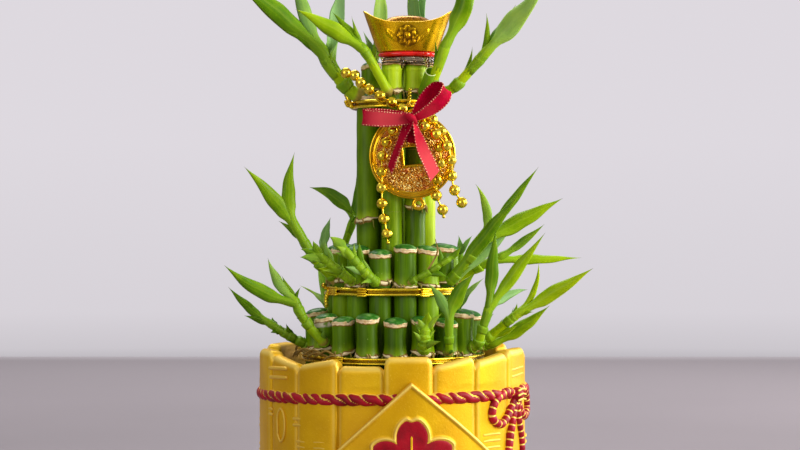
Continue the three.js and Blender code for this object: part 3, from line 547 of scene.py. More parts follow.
def ribbon_look():
    """Satin with a bright thread stitched along both edges, and painted sheen on parts of the loops and
    tails.
    """
    look = Look("ribbon_satin", Roughness=0.5, Specular_IOR_Level=0.03)
    across, length = abs(look.value("across")), look.value("length")
    look.base = look.ramp(look.noise(260, 3), (0.3, "#9c0022"), (0.55, "#b4002c"), (0.8, "#c40638"))
    # Painted sheen: a lighter coral red laid where the satin shines.
    look.over(look.value("bright"), "#dc4c52")
    near = look.step(across, 0.78, 0.83)
    dash = look.step(look.math("SINE", length * 4.6), 0.1, 0.5) * look.step(look.noise(1300), 0.4, 0.54)
    stitch = near * look.step(across, 0.98, 0.94) * dash
    look.over(near * 0.35, "#80001c")
    look.over(stitch, "#ffc49a")
    return look.done(look.math("SINE", length * 14) * 0.25 + stitch, 0.5, 0.0003, Metallic=stitch * 0.5)


def lacquer_look():
    look = Look("red_lacquer", Roughness=0.16, Coat_Weight=0.15, Coat_Roughness=0.08)
    look.base = look.ramp(look.noise(200), (0.35, "#e60c08"), (0.7, "#fc261a"))
    return look.done(look.noise(500), 0.12, 0.0004)


def glue_look():
    look = Look("clear_glue", Roughness=0.08, IOR=1.4, Transmission_Weight=0.95)
    look.base = look.ramp(look.noise(300), (0.3, "#c4a888"), (0.7, "#e0ccb0"))
    return look.done(look.noise(420), 0.12, 0.0006)


def floor_look():
    """Pale paper, painted lighter away from the object and most of all where it meets the backdrop, as
    painted light that evens out the lamps' fall-off.
    """
    look = Look("floor_pale", Roughness=0.6)
    away = look.made("SeparateXYZ", "Y", Vector=look.place)
    look.base = look.ramp(look.noise(3), (0.3, "#80787d"), (0.7, "#887f85"))
    # Painted light: lighter colour further back, and lighter still at the backdrop's edge.
    look.over(look.step(away, 0.4, 1.3), "#9a9197")
    look.over(look.step(away, 1.34, 1.44), "#b8b0b6")
    return look.done()


# Pot. Angles on it run from its own front. Each slip has the heights of its left and right top corners
# against the rim, and how far it stands proud.
SLIPS = [
    (0, 0, 0.9), (-4.5, 0, 0), (-3, 0.5, 0.5), (1.5, 1.5, 0.9), (-1, -1, 0), (-4, -2, 0.6),
    (0.5, 0.5, 0.9), (-3, -3, 0), (-1, -4, 0.6), (1, 1, 0.9), (-4, -1, 0), (-2, 0, 0.6),
    (1, 1, 0.9), (-3.5, -3.5, 0), (0.5, 0.5, 0.9), (-1, -5, 0), (-5, -1, 0.8), (-4.5, -4.5, -0.4),
]
SLIP_SPAN = 360 / len(SLIPS)


def on_pot(radius, degrees, height):
    """Points on the pot, which is turned as a whole."""
    return spun(around(radius, degrees, height), math.radians(POT_TURN))


def wall_path(pairs, radius, count):
    """A smooth run on the wall from angle and height pairs."""
    return on_pot(radius, *spline(pairs, count).T)


def add_pot_wall(shape):
    """The wall of slips with grooves between them, the rim, the inside and the underside, with painted
    highlights on the raised edges and painted shade in the grooves and inside.
    """
    half = SLIP_SPAN * math.radians(1) * POT_RADIUS / 2
    steps = np.append([0.0, 0.25, 0.5, 0.8, 1.2, 1.7, 2.3], np.linspace(CORNER_REACH, half, 7)[:-1])
    offsets = np.concatenate([steps, [half], (2 * half - steps)[::-1][:-1]])
    left, right, proud = np.array(SLIPS).T[..., None]
    share = offsets / (2 * half)
    gap = np.minimum(offsets, 2 * half - offsets)
    own = left + (right - left) * share
    other = np.where(share < 0.5, np.roll(right, 1, axis=0), np.roll(left, -1, axis=0))
    blend = 0.5 * (1 - smooth(0, 0.5, gap))
    corner = -1.6 * (1 - smooth(0, CORNER_REACH, gap)) ** 1.3
    rim = (POT_HEIGHT + own * (1 - blend) + np.minimum(own, other) * blend + corner).reshape(-1)
    sunk = 0.5 * (1 - smooth(0.2, CORNER_REACH, gap)) + 0.35 * hump(gap, GROOVE_WIDTH)
    wall = (proud - sunk).reshape(-1) + POT_RADIUS
    angles = ((np.arange(len(SLIPS))[:, None] - 0.5 + share) * SLIP_SPAN).reshape(-1)
    gaps = np.tile(gap, len(SLIPS))
    # lip is a painted highlight along the raised edge beside each groove; the groove mask is painted shade in
    # the groove.
    groove_shade, lip = 0.5 * hump(gaps, GROOVE_WIDTH), hump(gaps - 1.4, 0.6)
    draw = draws_from(WALL_SEED)
    waves = [(next(draw) * 6 + 2, next(draw) * 6.28, next(draw) * 0.16 + 0.05) for _ in range(6)]
    points, worns, hollows = [], [], []

    def row(radius, height, worn=0.0, hollow=0.0):
        points.append(on_pot(radius, angles, height))
        worns.append(worn + 0 * angles)
        hollows.append(hollow + 0 * angles)

    row(0.0, 1.5)
    for out, height in ((-3, 0.0), (0, 0.1), (2.2, 1.4), (3.8, 4.0)):
        row(POT_FOOT_RADIUS + out, height)
    for height in np.append(np.linspace(8, 56, 16), np.linspace(60, LEVEL_TOP, 22)):
        ripple = sum(size * np.sin(np.radians(angles) * count + phase + height * 0.09)
                     for count, phase, size in waves)
        row(wall + ripple * 0.5, height, 0.35 * lip, groove_shade)
    shoulder = rim - RIM_ROUNDING
    for share in np.linspace(0.12, 1, 9):
        row(wall, LEVEL_TOP + (shoulder - LEVEL_TOP) * share, 0.35 * lip, groove_shade)
    for turn in np.linspace(0.15, 1, 7) * math.pi / 2:
        edge = wall - 2.6 * (1 - math.cos(turn))
        row(edge, shoulder + RIM_ROUNDING * math.sin(turn), 0.75 * math.sin(2 * turn) ** 2, 0.4 * groove_shade)
    # Painted shade down the inside of the rim, the inside wall and the floor.
    for out, drop, worn, hollow in ((2.6, 0.3, 0.15, 0.3), (1.2, 0.8, 0.15, 0.6), (0.3, 1.8, 0, 1)):
        row(POT_INNER_RADIUS + out, rim - drop, worn, hollow)
    for share in np.linspace(0.05, 1, 9):
        row(POT_INNER_RADIUS - 0.8 * share, (rim - 3) * (1 - share) + (POT_FLOOR + 4) * share, 0, 1)
    row(POT_INNER_RADIUS - 4.3, POT_FLOOR, 0, 0.3)
    row(0.0, POT_FLOOR, 0, 0.3)
    shape.sheet(np.array(points), worn=np.array(worns), hollow=np.array(hollows))


def add_rope(shape):
    """The moulded rope round the pot. Its strands slant down to the right."""
    half = 3.0
    angle = np.linspace(0, 360, ROPE_COLUMNS, endpoint=False)[:, None]
    section = np.radians(np.append(np.linspace(-100, 100, 17), [150, 210]))
    lift = np.sin(section)
    arc = np.radians(angle) * POT_RADIUS
    pitch = 2 * math.pi * POT_RADIUS / ROPE_STRANDS
    uneven = 0.12 * np.sin(arc * 0.31) + 0.1 * np.sin(arc * 0.83 + 1)
    strand = np.abs(np.sin(math.pi * ((arc + 1.15 * half * lift) / pitch + uneven))) ** 0.7
    radius = POT_RADIUS - 0.2 + 2.5 * np.cos(section) * (0.6 + 0.4 * strand)
    height = ROPE_HEIGHT + ROPE_SAG * np.cos(np.radians(angle - 35)) + half * lift * (0.75 + 0.25 * strand)
    low = 0.26 * smooth(0.45, -0.9, lift)
    paint = smooth(0.3 - low, 0.48 - low, strand) * smooth(0.8, 0.55, lift - 0.25 * strand)
    # The unpainted gold of the strands gets a painted highlight.
    shape.sheet(on_pot(radius, angle, height), closed=True, paint=paint, worn=0.6 * (1 - paint))


def add_bow(shape):
    """The moulded bow of the same rope at the right of the pot."""
    surface = POT_RADIUS + 0.8
    # The bow's unpainted gold and the small ties over its knot get a painted highlight.
    for pairs in (
        [(55, 85), (48, 86.5), (40, 82), (38.6, 75), (44, 71.5), (50, 76), (54.5, 83)],
        [(57, 85), (64, 87), (72, 83), (74, 76), (68, 73), (61, 77), (57.5, 83)],
        [(56, 84), (53.5, 74), (50.5, 62), (48.5, 50)],
        [(56.5, 84), (59, 73), (62.5, 62), (64, 50)],
    ):
        path = wall_path(pairs, surface, 150)
        strand = np.abs(np.sin(math.pi * lengths(path) / BOW_STRAND))
        paint = smooth(0.22, 0.4, strand)
        shape.tube(path, 1.7 + 0.45 * strand**0.5, 12, paint=paint, worn=0.7 * (1 - paint))
    shape.ball(on_pot(surface + 0.2, 56, 84.5), 4.2, squash=0.9, paint=1.0)
    for lift in (-2.4, 0.0, 2.4):
        pairs = [(52.6, 84.5 + lift), (56, 85.1 + lift), (59.4, 84.5 + lift)]
        shape.tube(wall_path(pairs, surface + 3.9, 8), 0.5, 6, worn=0.8)


def add_plaque(shape):
    """The lozenge with its raised edge, and the painted blossom of five petals in it."""
    grid = np.concatenate([[-1.0], np.linspace(-1, 1, 160), [1.0]])
    a, b = np.meshgrid(grid, grid, indexing="ij")
    x, z = (a - b) / 2 * PLAQUE_HALF_WIDTH, (a + b) / 2 * PLAQUE_HALF_HEIGHT
    face_x = np.where(x < 0, 0.9 * x, x) + 0.8
    scale = PLAQUE_HALF_WIDTH * PLAQUE_HALF_HEIGHT / math.hypot(PLAQUE_HALF_WIDTH, PLAQUE_HALF_HEIGHT)
    rim = (1 - np.maximum(np.abs(a), np.abs(b))) * scale
    inside, veins = np.full(x.shape, -1e3), np.zeros(x.shape)
    for turn in math.pi / 2 + full_turn(5):
        along = x * math.cos(turn) + z * math.sin(turn)
        off = z * math.cos(turn) - x * math.sin(turn)
        outward = along - PETAL_CENTRE
        notch = 1.5 * hump(off, 1.8) * smooth(4, 9, outward)
        inside = np.maximum(inside, PETAL_RADIUS - notch - np.hypot(outward * 0.96, off * 1.12))
        veins = np.maximum(veins, hump(off, 0.45) * smooth(4, 6, along) * smooth(15, 12, along))
    eye = 2.9 - np.hypot(x, z)
    outline = hump(inside, 0.75)
    radius = PLAQUE_RADIUS - (PLAQUE_RADIUS - PLAQUE_FIELD_RADIUS) * smooth(1.4, 2.4, rim)
    radius += smooth(0, 0.8, rim) - 1 + 1.15 * outline * (inside > -2.2)
    radius += 0.75 * smooth(0.4, 1.6, inside) - 0.35 * smooth(2, 6.5, inside)
    radius += 0.9 * smooth(-0.6, 0.6, eye) + 0.4 * veins * smooth(0.5, 1.5, inside)
    radius[[0, -1], :] = radius[:, [0, -1]] = POT_RADIUS - 1.5
    paint = smooth(0.75, 1.15, inside) * (1 - smooth(0.3, 0.6, veins)) * (1 - smooth(-0.9, -0.4, eye))
    # Painted highlight on the lozenge's edge and on the blossom's outline.
    worn = np.maximum(0.9 * hump(rim - 0.9, 0.7), 0.8 * outline)
    points = on_pot(np.minimum(radius, FRONT_LIMIT), np.degrees(face_x / POT_RADIUS), PLAQUE_CENTRE + z)
    shape.sheet(points, wrap=False, paint=paint, worn=worn)


def add_slip_ornament(shape):
    """Plain raised bars and ovals on some of the slips."""
    surface = POT_RADIUS + 0.15
    bars = [
        (-52, -45, 74.6), (-42, -34.6, 74.7), (-52, -45, 71.6), (-42, -34.6, 72), (-49.6, -45.4, 64),
        (-40.6, -35.4, 64.3), (-49.6, -45.4, 61.4), (-40.6, -35.4, 61.6), (34, 43.6, 67), (34, 43.6, 64),
        (34, 43.6, 60.8), (-72.4, -68.6, 77.6), (-72.4, -68.6, 75), (74.8, 84, 62), (74.8, 84, 59),
    ]
    for slip in range(5, 14):
        middle = slip * SLIP_SPAN
        for height in (70, 67, 58, 55):
            bars += [(middle - 6.6, middle - 1.2, height), (middle + 1.2, middle + 6.6, height)]
    # The bars and ovals get a painted highlight.
    for start, end, height in bars:
        pairs = [(start, height), ((start + end) / 2, height + 0.15), (end, height)]
        shape.tube(wall_path(pairs, surface, 8), 0.75, 8, worn=0.45)
    for start, end, height in ((-71, -57, 97.3), (-70, -57, 93), (53, 66, 96.6), (53, 66, 93.4)):
        pairs = [(start, height), ((start + end) / 2, height + 0.4), (end, height + 0.6)]
        shape.tube(wall_path(pairs, surface, 10), 1.0, 8, worn=0.4)
    for middle, low, high in ((-60.9, 62.8, 78.6), (100, 60, 76), (-100, 60, 76)):
        near, far = middle - 2.4, middle + 2.4
        pairs = [(near, low + 3), (near, high - 3), (middle, high), (far, high - 3), (far, low + 3),
                 (middle, low), (near, low + 3)]
        shape.tube(wall_path(pairs, surface + 0.2, 40), 0.55, 8, worn=0.5)


def make_pot():
    shape = Shape("paint", "worn", "hollow")
    for add in (add_pot_wall, add_rope, add_bow, add_plaque, add_slip_ornament):
        add(shape)
    shape.piece("pot_with_reliefs", [pot_look()], "pot_gold", "pot")


def make_gravel():
    """A firm bed, and loose stones on it."""
    shape = Shape("tone")
    foot, side, bed = POT_INNER_RADIUS - 4.6, POT_INNER_RADIUS - 1.2, GRAVEL_TOP - 2.2
    shape.turned([
        (BUNDLE_HOLE, BUNDLE_FOOT), (foot, BUNDLE_FOOT), (side, POT_FLOOR + 4.2), (side, bed),
        ((side + BUNDLE_HOLE) / 2, bed + 0.4), (BUNDLE_HOLE, bed),
    ], 96, closed=True, tone=0.2)
    draw = draws_from(STONE_SEED)
    lift, turn = np.linspace(-math.pi / 2, math.pi / 2, 8)[1:-1, None], full_turn(9)
    for i in range(GRAVEL_STONES):
        angle = next(draw) * 360
        radius = BUNDLE_HOLE + 2.4 + (side - BUNDLE_HOLE - 4.8) * math.sqrt(next(draw))
        size = vector(1.6 + 1.5 * next(draw), 1.3 + 1.1 * next(draw), 1.0 + 0.7 * next(draw))
        bulge = 1 + 0.22 * np.sin(3 * turn + next(draw) * 6) * np.cos(lift) + 0.12 * np.sin(5 * lift + i)
        stone = xyz(np.cos(lift) * np.cos(turn), np.cos(lift) * np.sin(turn), np.sin(lift))
        stone = spun(stone * bulge[..., None] * size, next(draw) * math.pi)
        stone += around(radius, angle, bed + 0.2 + 1.1 * next(draw))
        shape.sheet(stone, capped=True, tone=next(draw))
    shape.piece("gravel_stones", [gravel_look()], "gravel", "gravel_bed")


def tier_stalks(name, tops, ring, radius, first, joint, spread, seed, centre=(0, 0)):
    """A ring of stalks cut at the heights in tops."""
    draw = draws_from(seed)
    return [dict(
        name="%s_%02d" % (name, i + 1), centre=around(ring, first + 360 / len(tops) * i, 0)[:2] + centre,
        radius=radius, top=top, joints=[joint + (next(draw) - 0.5) * 2 * spread], peel=0.0, glued=False,
    ) for i, top in enumerate(tops)]


outer_stalks = tier_stalks(
    "outer_stalk", [122.7, 123.5, 122.2, 126, 125, 124.2, 123.4, 125.1, 123.8, 124.6, 123.1, 125.3,
                    124.2, 125, 126.3, 124, 122.8, 124.8],
    ring=38.8, radius=5.5, first=1.9, joint=105.5, spread=1.4, seed=11,
)
middle_stalks = tier_stalks(
    "middle_stalk", [157.8, 157.3, 158.2, 157.4, 156.8, 157.9, 156.6, 157.2, 158, 157, 157.6, 157.9,
                     157.3, 155.2],
    ring=27.3, radius=5.5, first=12.9, joint=139, spread=1.4, seed=23,
)
inner_stalks = tier_stalks(
    "inner_stalk", [INNER_TOP, INNER_TOP, INNER_TOP, 243.5, 245, 249.5, 233],
    ring=13.9, radius=5.05, first=-9.7, joint=INNER_JOINT, spread=0, seed=5, centre=INNER_CENTRE,
)
inner_stalks.append(dict(inner_stalks[0], name="inner_stalk_08", centre=vector(*INNER_CENTRE)))
for glued_stalk in (0, 1, 2, 7):
    inner_stalks[glued_stalk]["glued"] = True
inner_stalks[2]["centre"] = vector(16.2, -0.9)
inner_stalks[6].update(centre=vector(-12.3, -8.2), radius=5.8, joints=[169.5])
inner_stalks[1]["joints"] = [INNER_JOINT, 176]
outer_stalks[15]["peel"] = 1.0


def add_stalk(shape, stalk, seed, tone):
    """A round stalk with a waxed cut, a slight waist and a wavy ridge at each joint."""
    draw = draws_from(seed)
    radius, top, joints, glued = (stalk[key] for key in ("radius", "top", "joints", "glued"))
    x0, y0 = stalk["centre"]
    heights = [BUNDLE_FOOT, 30, 55, 75, 85, 92, *np.arange(97, top - 6, 2.2)]
    for joint in joints:
        heights += [*np.arange(joint - 4, joint + 4.1, 0.5)]
    heights += [*np.arange(top - 6, top - 2.6, 0.6), top - 2.65]
    heights = np.unique(np.round([h for h in heights if h < top - 2.6], 3))[:, None]
    turn = full_turn(STALK_SIDES)
    outline = 1 + 0.03 * next(draw) * np.cos(2 * (turn - next(draw) * math.pi))
    phases = [next(draw) * 2 * math.pi for _ in range(3)]
    outward = math.atan2(y0, x0) if math.hypot(x0, y0) > 5 else -math.pi / 2
    lean = np.cos(turn - outward - 0.5 * math.sin(phases[0]))
    wave = 0.22 * np.sin(3 * turn + phases[1]) - (0.7 + 0.9 * next(draw)) * lean
    ring, swell = np.full((len(heights), STALK_SIDES), NO_JOINT), 0.0
    for joint in joints:
        off = heights - joint - wave
        ring = np.where(np.abs(off) < np.abs(ring), off, ring)
        swell = swell + JOINT_FLARE * hump(off, 2.3) + 0.34 * hump(off, 0.5)
    rough = 0.05 * np.sin(heights * 0.5 + phases[2] + 2 * turn)
    cut_lip = 0.28 * hump(top - heights - 3.2, 0.55)
    slope = (0.4 if glued else 1.5) * (0.6 + 0.7 * next(draw)) / 2
    cut_shift, cap_height = (3.1, 0.4) if glued else (0.0, 1.0)
    share, drop = vector(
        (1.02, 2.6), (1.05, 2.3), (1.02, 1.9), (0.93, 1.35), (0.8, 0.85), (0.6, 0.42), (0.35, 0.12), (0, 0),
    ).T[..., None]
    drop = drop * cap_height
    cap = radius * share * outline * (1 + 0.02 * np.sin(5 * turn + phases[1] + drop))
    size = np.vstack([(radius - 0.1) * outline + swell + rough + cut_lip, cap])
    z = np.vstack([
        heights - slope * (1 + lean) * smooth(top - 11, top - 2.7, heights),
        top - drop - slope * (1 + np.minimum(share, 1) * lean),
    ])
    young = np.vstack([smooth(-0.4, 0.4, heights - joints[0]) * glued, 0 * drop])
    shape.sheet(
        xyz(x0 + size * np.cos(turn), y0 + size * np.sin(turn), z), capped=True,
        down=np.vstack([top - heights, np.minimum(drop, 2.3)]) + cut_shift,
        ring=np.vstack([ring, np.full(cap.shape, NO_JOINT)]), tone=tone + (0.9 - tone) * young,
        peel=stalk["peel"],
    )


# Shoots. Each has the stalk it grows from, its stem's radius and the stem's points outside the stalk. A leaf
# has the share of the stem where it starts, its tip, its width, how far its middle stands above the straight
# line to the tip (or None where it follows the stem), how bright it is and how pale.
OUTER_SHOOTS = [
    (15, 2.6, [(-34, -26.5, 110), (-38.8, -27, 115), (-44.2, -28, 122.5), (-47.6, -28.5, 130)], [
        (0.95, (-81, -37, 147.3), 8, -2.7, 0.3, 0), (1, (-60.5, -30, 150.5), 6, -1.7, 0.5, 0.25),
        (0.85, (-54, -27, 142), 4, None, 0.35, 0), (0.95, (-44.6, -30, 136.4), 2.2, None, 0.15, 0)]),
    (14, 2.2, [(-43, -9, 107), (-52, -11, 112), (-61, -13, 118)], [
        (1, (-81, -15, 136), 5, -0.8, 0.28, 0), (0.95, (-73, -17, 122), 4, None, 0.1, 0),
        (0.85, (-59.8, -9, 121), 4, None, 0.08, 0), (0.5, (-52.5, -15, 118), 4, None, 0.1, 0),
        (0.75, (-60, -18, 113.5), 3.5, None, 0.05, 0), (0.35, (-52.3, -14, 109.5), 3.5, None, 0.05, 0)]),
    (1, 2.7, [(15, -41.5, 108), (15.2, -43, 113), (15.8, -44, 118)], [
        (0.9, (17, -45.5, 125.5), 6, None, 0.62, 0), (0.75, (11.6, -45.5, 122), 5.5, None, 0.6, 0.1),
        (0.75, (20.4, -44.5, 121), 5.5, None, 0.5, 0), (0.5, (12, -46, 117), 5, None, 0.4, 0)]),
    (2, 2.2, [(27, -35, 106), (27, -37, 113), (27, -38.5, 121)], [
        (0.95, (39.6, -42, 143.6), 8, 2.5, 0.4, 0), (1, (16.4, -40, 138.8), 6, None, 0.3, 0.2)]),
    (3, 2.5, [(41, -23, 108), (44, -24, 117), (47, -25, 127)], [
        (1, (50, -28, 164.3), 7, 0, 0.26, 0), (0.95, (74, -28, 162.8), 7, 0.5, 0.62, 0),
        (0.95, (66.9, -9, 134.5), 6, 2.5, 0.3, 0.6)]),
    (4, 2.4, [(46, -7, 110), (51, -8.5, 114), (57, -10.5, 119), (62, -12, 122.8)], [
        (1, (97.9, -24, 145.6), 8, 0, 0.8, 0), (0.8, (61.5, -8, 127.9), 3, None, 0.5, 0),
        (0.9, (69, -18, 123.8), 3, None, 0.6, 0), (1, (71.8, -14, 148.4), 3.5, -3, 0.95, 0),
        (0.35, (61.7, -12, 117), 4, -0.5, 0.7, 0), (0.2, (54.5, -5, 120), 3.5, None, 0.35, 0)]),
    (5, 2.2, [(43.5, 7, 105.6), (47, 5, 106), (51, 3, 107)], [
        (0.95, (78, -4, 126.4), 7.5, -1, 0.62, 0), (0.7, (61, 12, 125), 6, None, 0.4, 0.2)]),
]
MIDDLE_SHOOTS = [
    (11, 2.6, [(-29, -14, 140), (-37, -18, 148), (-48.2, -22, 166.5)], [
        (0.95, (-72, -30, 194.8), 8.2, None, 0.42, 0), (1, (-47.8, -24, 202), 7.5, None, 0.5, 0),
        (0.85, (-56, -20, 168.5), 4, None, 0.3, 0)]),
    (10, 2.2, [(-31, -1, 140), (-33.5, -2, 147), (-34.5, -3, 155)], [
        (1, (-31, -4, 170.3), 5, None, 0.3, 0.5), (0.9, (-36, 1, 163), 4.5, None, 0.35, 0.8)]),
    (9, 2.3, [(-27, 13.5, 140), (-25, 16, 155), (-19.5, 17, 171)], [
        (1, (-43, 20, 185.8), 8, 3, 0.38, 0.05), (0.9, (-18.8, 17, 191), 4.5, None, 0.35, 0.1)]),
    (13, 2.2, [(-9, -32.5, 139.5), (-14.8, -34.5, 144.9), (-19.6, -36, 150.6), (-23, -36.5, 154.5)], [
        (0.95, (-30.5, -36, 161), 6.5, 0.8, 0.55, 0.1), (0.7, (-27, -39.5, 156.5), 5, 0.6, 0.62, 0.1),
        (0.4, (-23, -39.5, 146.5), 4, 0.5, 0.45, 0.35), (0.5, (-16, -35, 158), 4.5, -0.5, 0.3, 0),
        (0.25, (-14.5, -35, 151), 3.5, -0.4, 0.4, 0.1)]),
    (12, 2, [(-20.5, -27, 139.5), (-26, -30, 144), (-32, -32, 149), (-35, -32.5, 151.5)], [
        (0.95, (-44.7, -32, 155), 4.5, 0.5, 0.3, 0), (0.85, (-44.7, -35, 151), 5, 0.4, 0.45, 0.1),
        (0.9, (-38.5, -32, 159), 5, -0.4, 0.35, 0), (0.6, (-33, -30.5, 158.5), 4.5, -0.6, 0.45, 0.25),
        (0.4, (-36.2, -32.5, 145.5), 5, 0.6, 0.65, 0)]),
    (0, 1.5, [(9, -32, 139), (18, -34, 144), (27, -34.5, 150)], [
        (1, (33, -35, 156), 3.5, None, 0.3, 0), (0.8, (22, -35, 156), 3.5, None, 0.2, 0),
        (0.6, (27, -37, 141), 3.5, None, 0.3, 0)]),
    (4, 1.8, [(30, 12, 140), (32, 11, 146), (34, 10, 151)], [
        (0.9, (33, 9, 161.3), 4, None, 0.25, 0.3), (1, (40, 8, 161.3), 4, None, 0.35, 0.5)]),
    (2, 2.5, [(29, -16, 140), (39, -18, 152), (47.6, -19, 164)], [
        (0.35, (62.5, -30, 182.5), 8, 0.5, 0.28, 0), (1, (71, -24, 194.8), 5, 0, 0.4, 0),
        (0.9, (40.4, -20, 186.7), 5, 3.2, 0.6, 0.1), (0.25, (64, -17, 172), 7.5, -0.5, 0.55, 0.6),
        (0.85, (83.6, -16, 179.7), 9, 0, 0.62, 0)]),
    (3, 2.3, [(33, -1, 140), (44, -5, 146), (54, -7, 151)], [
        (1, (75, -11, 167), 4.5, -0.5, 0.5, 0.05), (0.9, (93.6, -6, 150.2), 6, 0, 0.72, 0)]),
]
INNER_SHOOTS = [
    (6, 3.7, [(-20.5, -11.5, 232.2), (-27.2, -13, 240), (-32, -14, 247), (-35.5, -14.5, 252.5)], [
        (0.95, (-82, -26, 290), 11, 1.5, 0.34, 0), (1, (-49, -4, 296), 8, None, 0.4, 0.3),
        (0.75, (-25, 4, 293), 9, -1.2, 0.5, 0.85), (0.75, (-53, -20, 261.6), 5, 2, 0.25, 0),
        (0.4, (-35.5, -14, 244.8), 2.5, None, 0.5, 0)]),
    (0, 2.7, [(-3, -20.5, 232.7), (-9.5, -22, 244.5), (-15, -24, 253)], [
        (0.95, (-47, -33, 270.5), 9.2, 1.4, 0.62, 0), (1, (-29.7, -22, 270.6), 5, None, 0.35, 0),
        (0.9, (-20, -25, 268), 3, None, 0.45, 0)]),
    (5, 2.6, [(-13, 7, 238), (-11, 8.5, 245), (-9, 9.5, 252)], [
        (1, (-8.5, 13, 296), 9, None, 0.6, 0.3), (0.6, (-15.2, 9, 264.5), 6, None, 0.3, 0.5)]),
    (3, 2.6, [(13, 15.5, 234), (14, 17, 241), (13.5, 17.5, 250)], [
        (1, (9.5, 16, 300), 9.5, None, 0.3, 0.45), (0.9, (18, 20, 296), 8, None, 0.45, 0.9)]),
    (1, 3, [(17, -17, 233), (21.5, -20.5, 242), (25.5, -22.5, 254)], [
        (1, (40.5, -26, 298), 10.5, -1.8, 0.42, 0), (0.95, (44, -20, 284), 6, None, 0.6, 0),
        (0.5, (20.5, -24, 257), 3, None, 0.2, 0)]),
    (2, 2.9, [(21, -2, 232), (29, -6, 234), (38, -9, 242.7), (46, -12, 251.8)], [
        (1, (76.5, -24, 286.8), 11.5, None, 0.66, 0.35), (0.95, (61, -6, 276), 7, None, 0.35, 0.1),
        (0.9, (46, -14, 271), 4, None, 0.45, 0), (0.6, (39.5, -6, 255), 3, None, 0.4, 0)]),
]
# A shoot at the rear whose leaves look to the front, and stalks in darker green
FRONT_LEAVES = ("middle_stalk_10",)
DARK_STALKS = ("outer_stalk_18", "middle_stalk_14")
# Stalks whose shoot is wrapped in many short leaves
BUSHY_SHOOTS = ("middle_stalk_13", "middle_stalk_14", "outer_stalk_02")
# Shoots behind follow one rule: stalk, angle, height, reach, spread and seed
OUTER_RULED = [(7, 155, 106, 32, 30, 131), (9, 182, 106, 36, 30, 110), (11, 206, 106, 32, 30, 112)]
MIDDLE_RULED = [(6, 172, 140, 34, 20, 207), (7, 189, 140, 31, 17, 209)]
INNER_RULED = [(4, 185, 233, 32, 24, 307)]
# Tones of the inner stalks; the second is set near its darkest as painted shade.
INNER_TONES_AND_SHADE = [0.42, 0.06, 1.0, 0.4, 0.3, 0.3, 0.18, 0.45]


def ruled_shoot(stalks, index, angle, height, reach, spread, seed):
    draw = draws_from(seed)
    out = around(1, angle, 0)
    root = np.append(stalks[index]["centre"], height) + out * (stalks[index]["radius"] + 1)
    end = root + (out * 0.3 + UP * 0.42) * reach
    leaves = []
    for i, fan in enumerate((-spread, 0, spread)):
        swing = fan + (next(draw) - 0.5) * 10
        steep = 0.45 + 0.65 * next(draw)
        tip = end + around(1, angle + swing, 0) * reach * (0.75 - 0.2 * steep) + UP * reach * steep
        leaves.append((0.8 + 0.1 * i, tip, 6.5 + 2 * next(draw), None, 0.35 + 0.1 * i, 0.05))
    return index, 2.3, [root, root + (out + UP) * reach * 0.17, end], leaves


def facing_at(point, front=False):
    """The way a leaf's upper face looks: to the front at the front, up and back to the middle behind."""
    inward = unit(vector(-point[0], -point[1], 0))
    behind = 0.0 if front else float(np.clip((point[1] - REAR_START) / REAR_SPAN, 0, 1))
    return unit(vector(0, -1, 0.35) * (1 - behind) + (inward * 0.6 + UP * 0.8) * behind)


def add_joint_spikes(shape, stalk, seed):
    """Short dry points of the old leaf sheath that hang from the joint line."""
    draw = draws_from(seed)
    x0, y0 = stalk["centre"]
    outward = math.degrees(math.atan2(x0, -y0)) if math.hypot(x0, y0) > 5 else 0
    for joint in stalk["joints"]:
        for _ in range(6):
            angle = outward + (next(draw) - 0.5) * 180
            size = 1.2 + 2.8 * next(draw) ** 1.5
            rise = joint - 0.6 - 0.8 * next(draw)
            reach = stalk["radius"] + vector(0.1, 0.7, 0.9, 0.5 + 0.3 * size)
            path = around(reach, angle + vector(0, 2, 3, 5), rise - vector(-0.8, 0, 0.6 * size, size))
            shape.tube(path + (x0, y0, 0), vector(0.75, 0.7, 0.4, 0.1), 7, kind=1, flat=0.5, along=0.3,
                       across=0.5, tone=0.3, collar=0.5 + 0.5 * next(draw))


def leaf_share(t):
    """Half the width of a blade, as a share of its widest, from its base at 0 to its tip at 1."""
    widest = 0.42
    rising = 0.58 + 0.42 * np.sin(np.clip(t / widest, 0, 1) * math.pi / 2)
    falling = np.cos(np.clip((t - widest) / (1 - widest), 0, 1) * math.pi / 2) ** 1.35
    return np.where(t < widest, rising, falling)


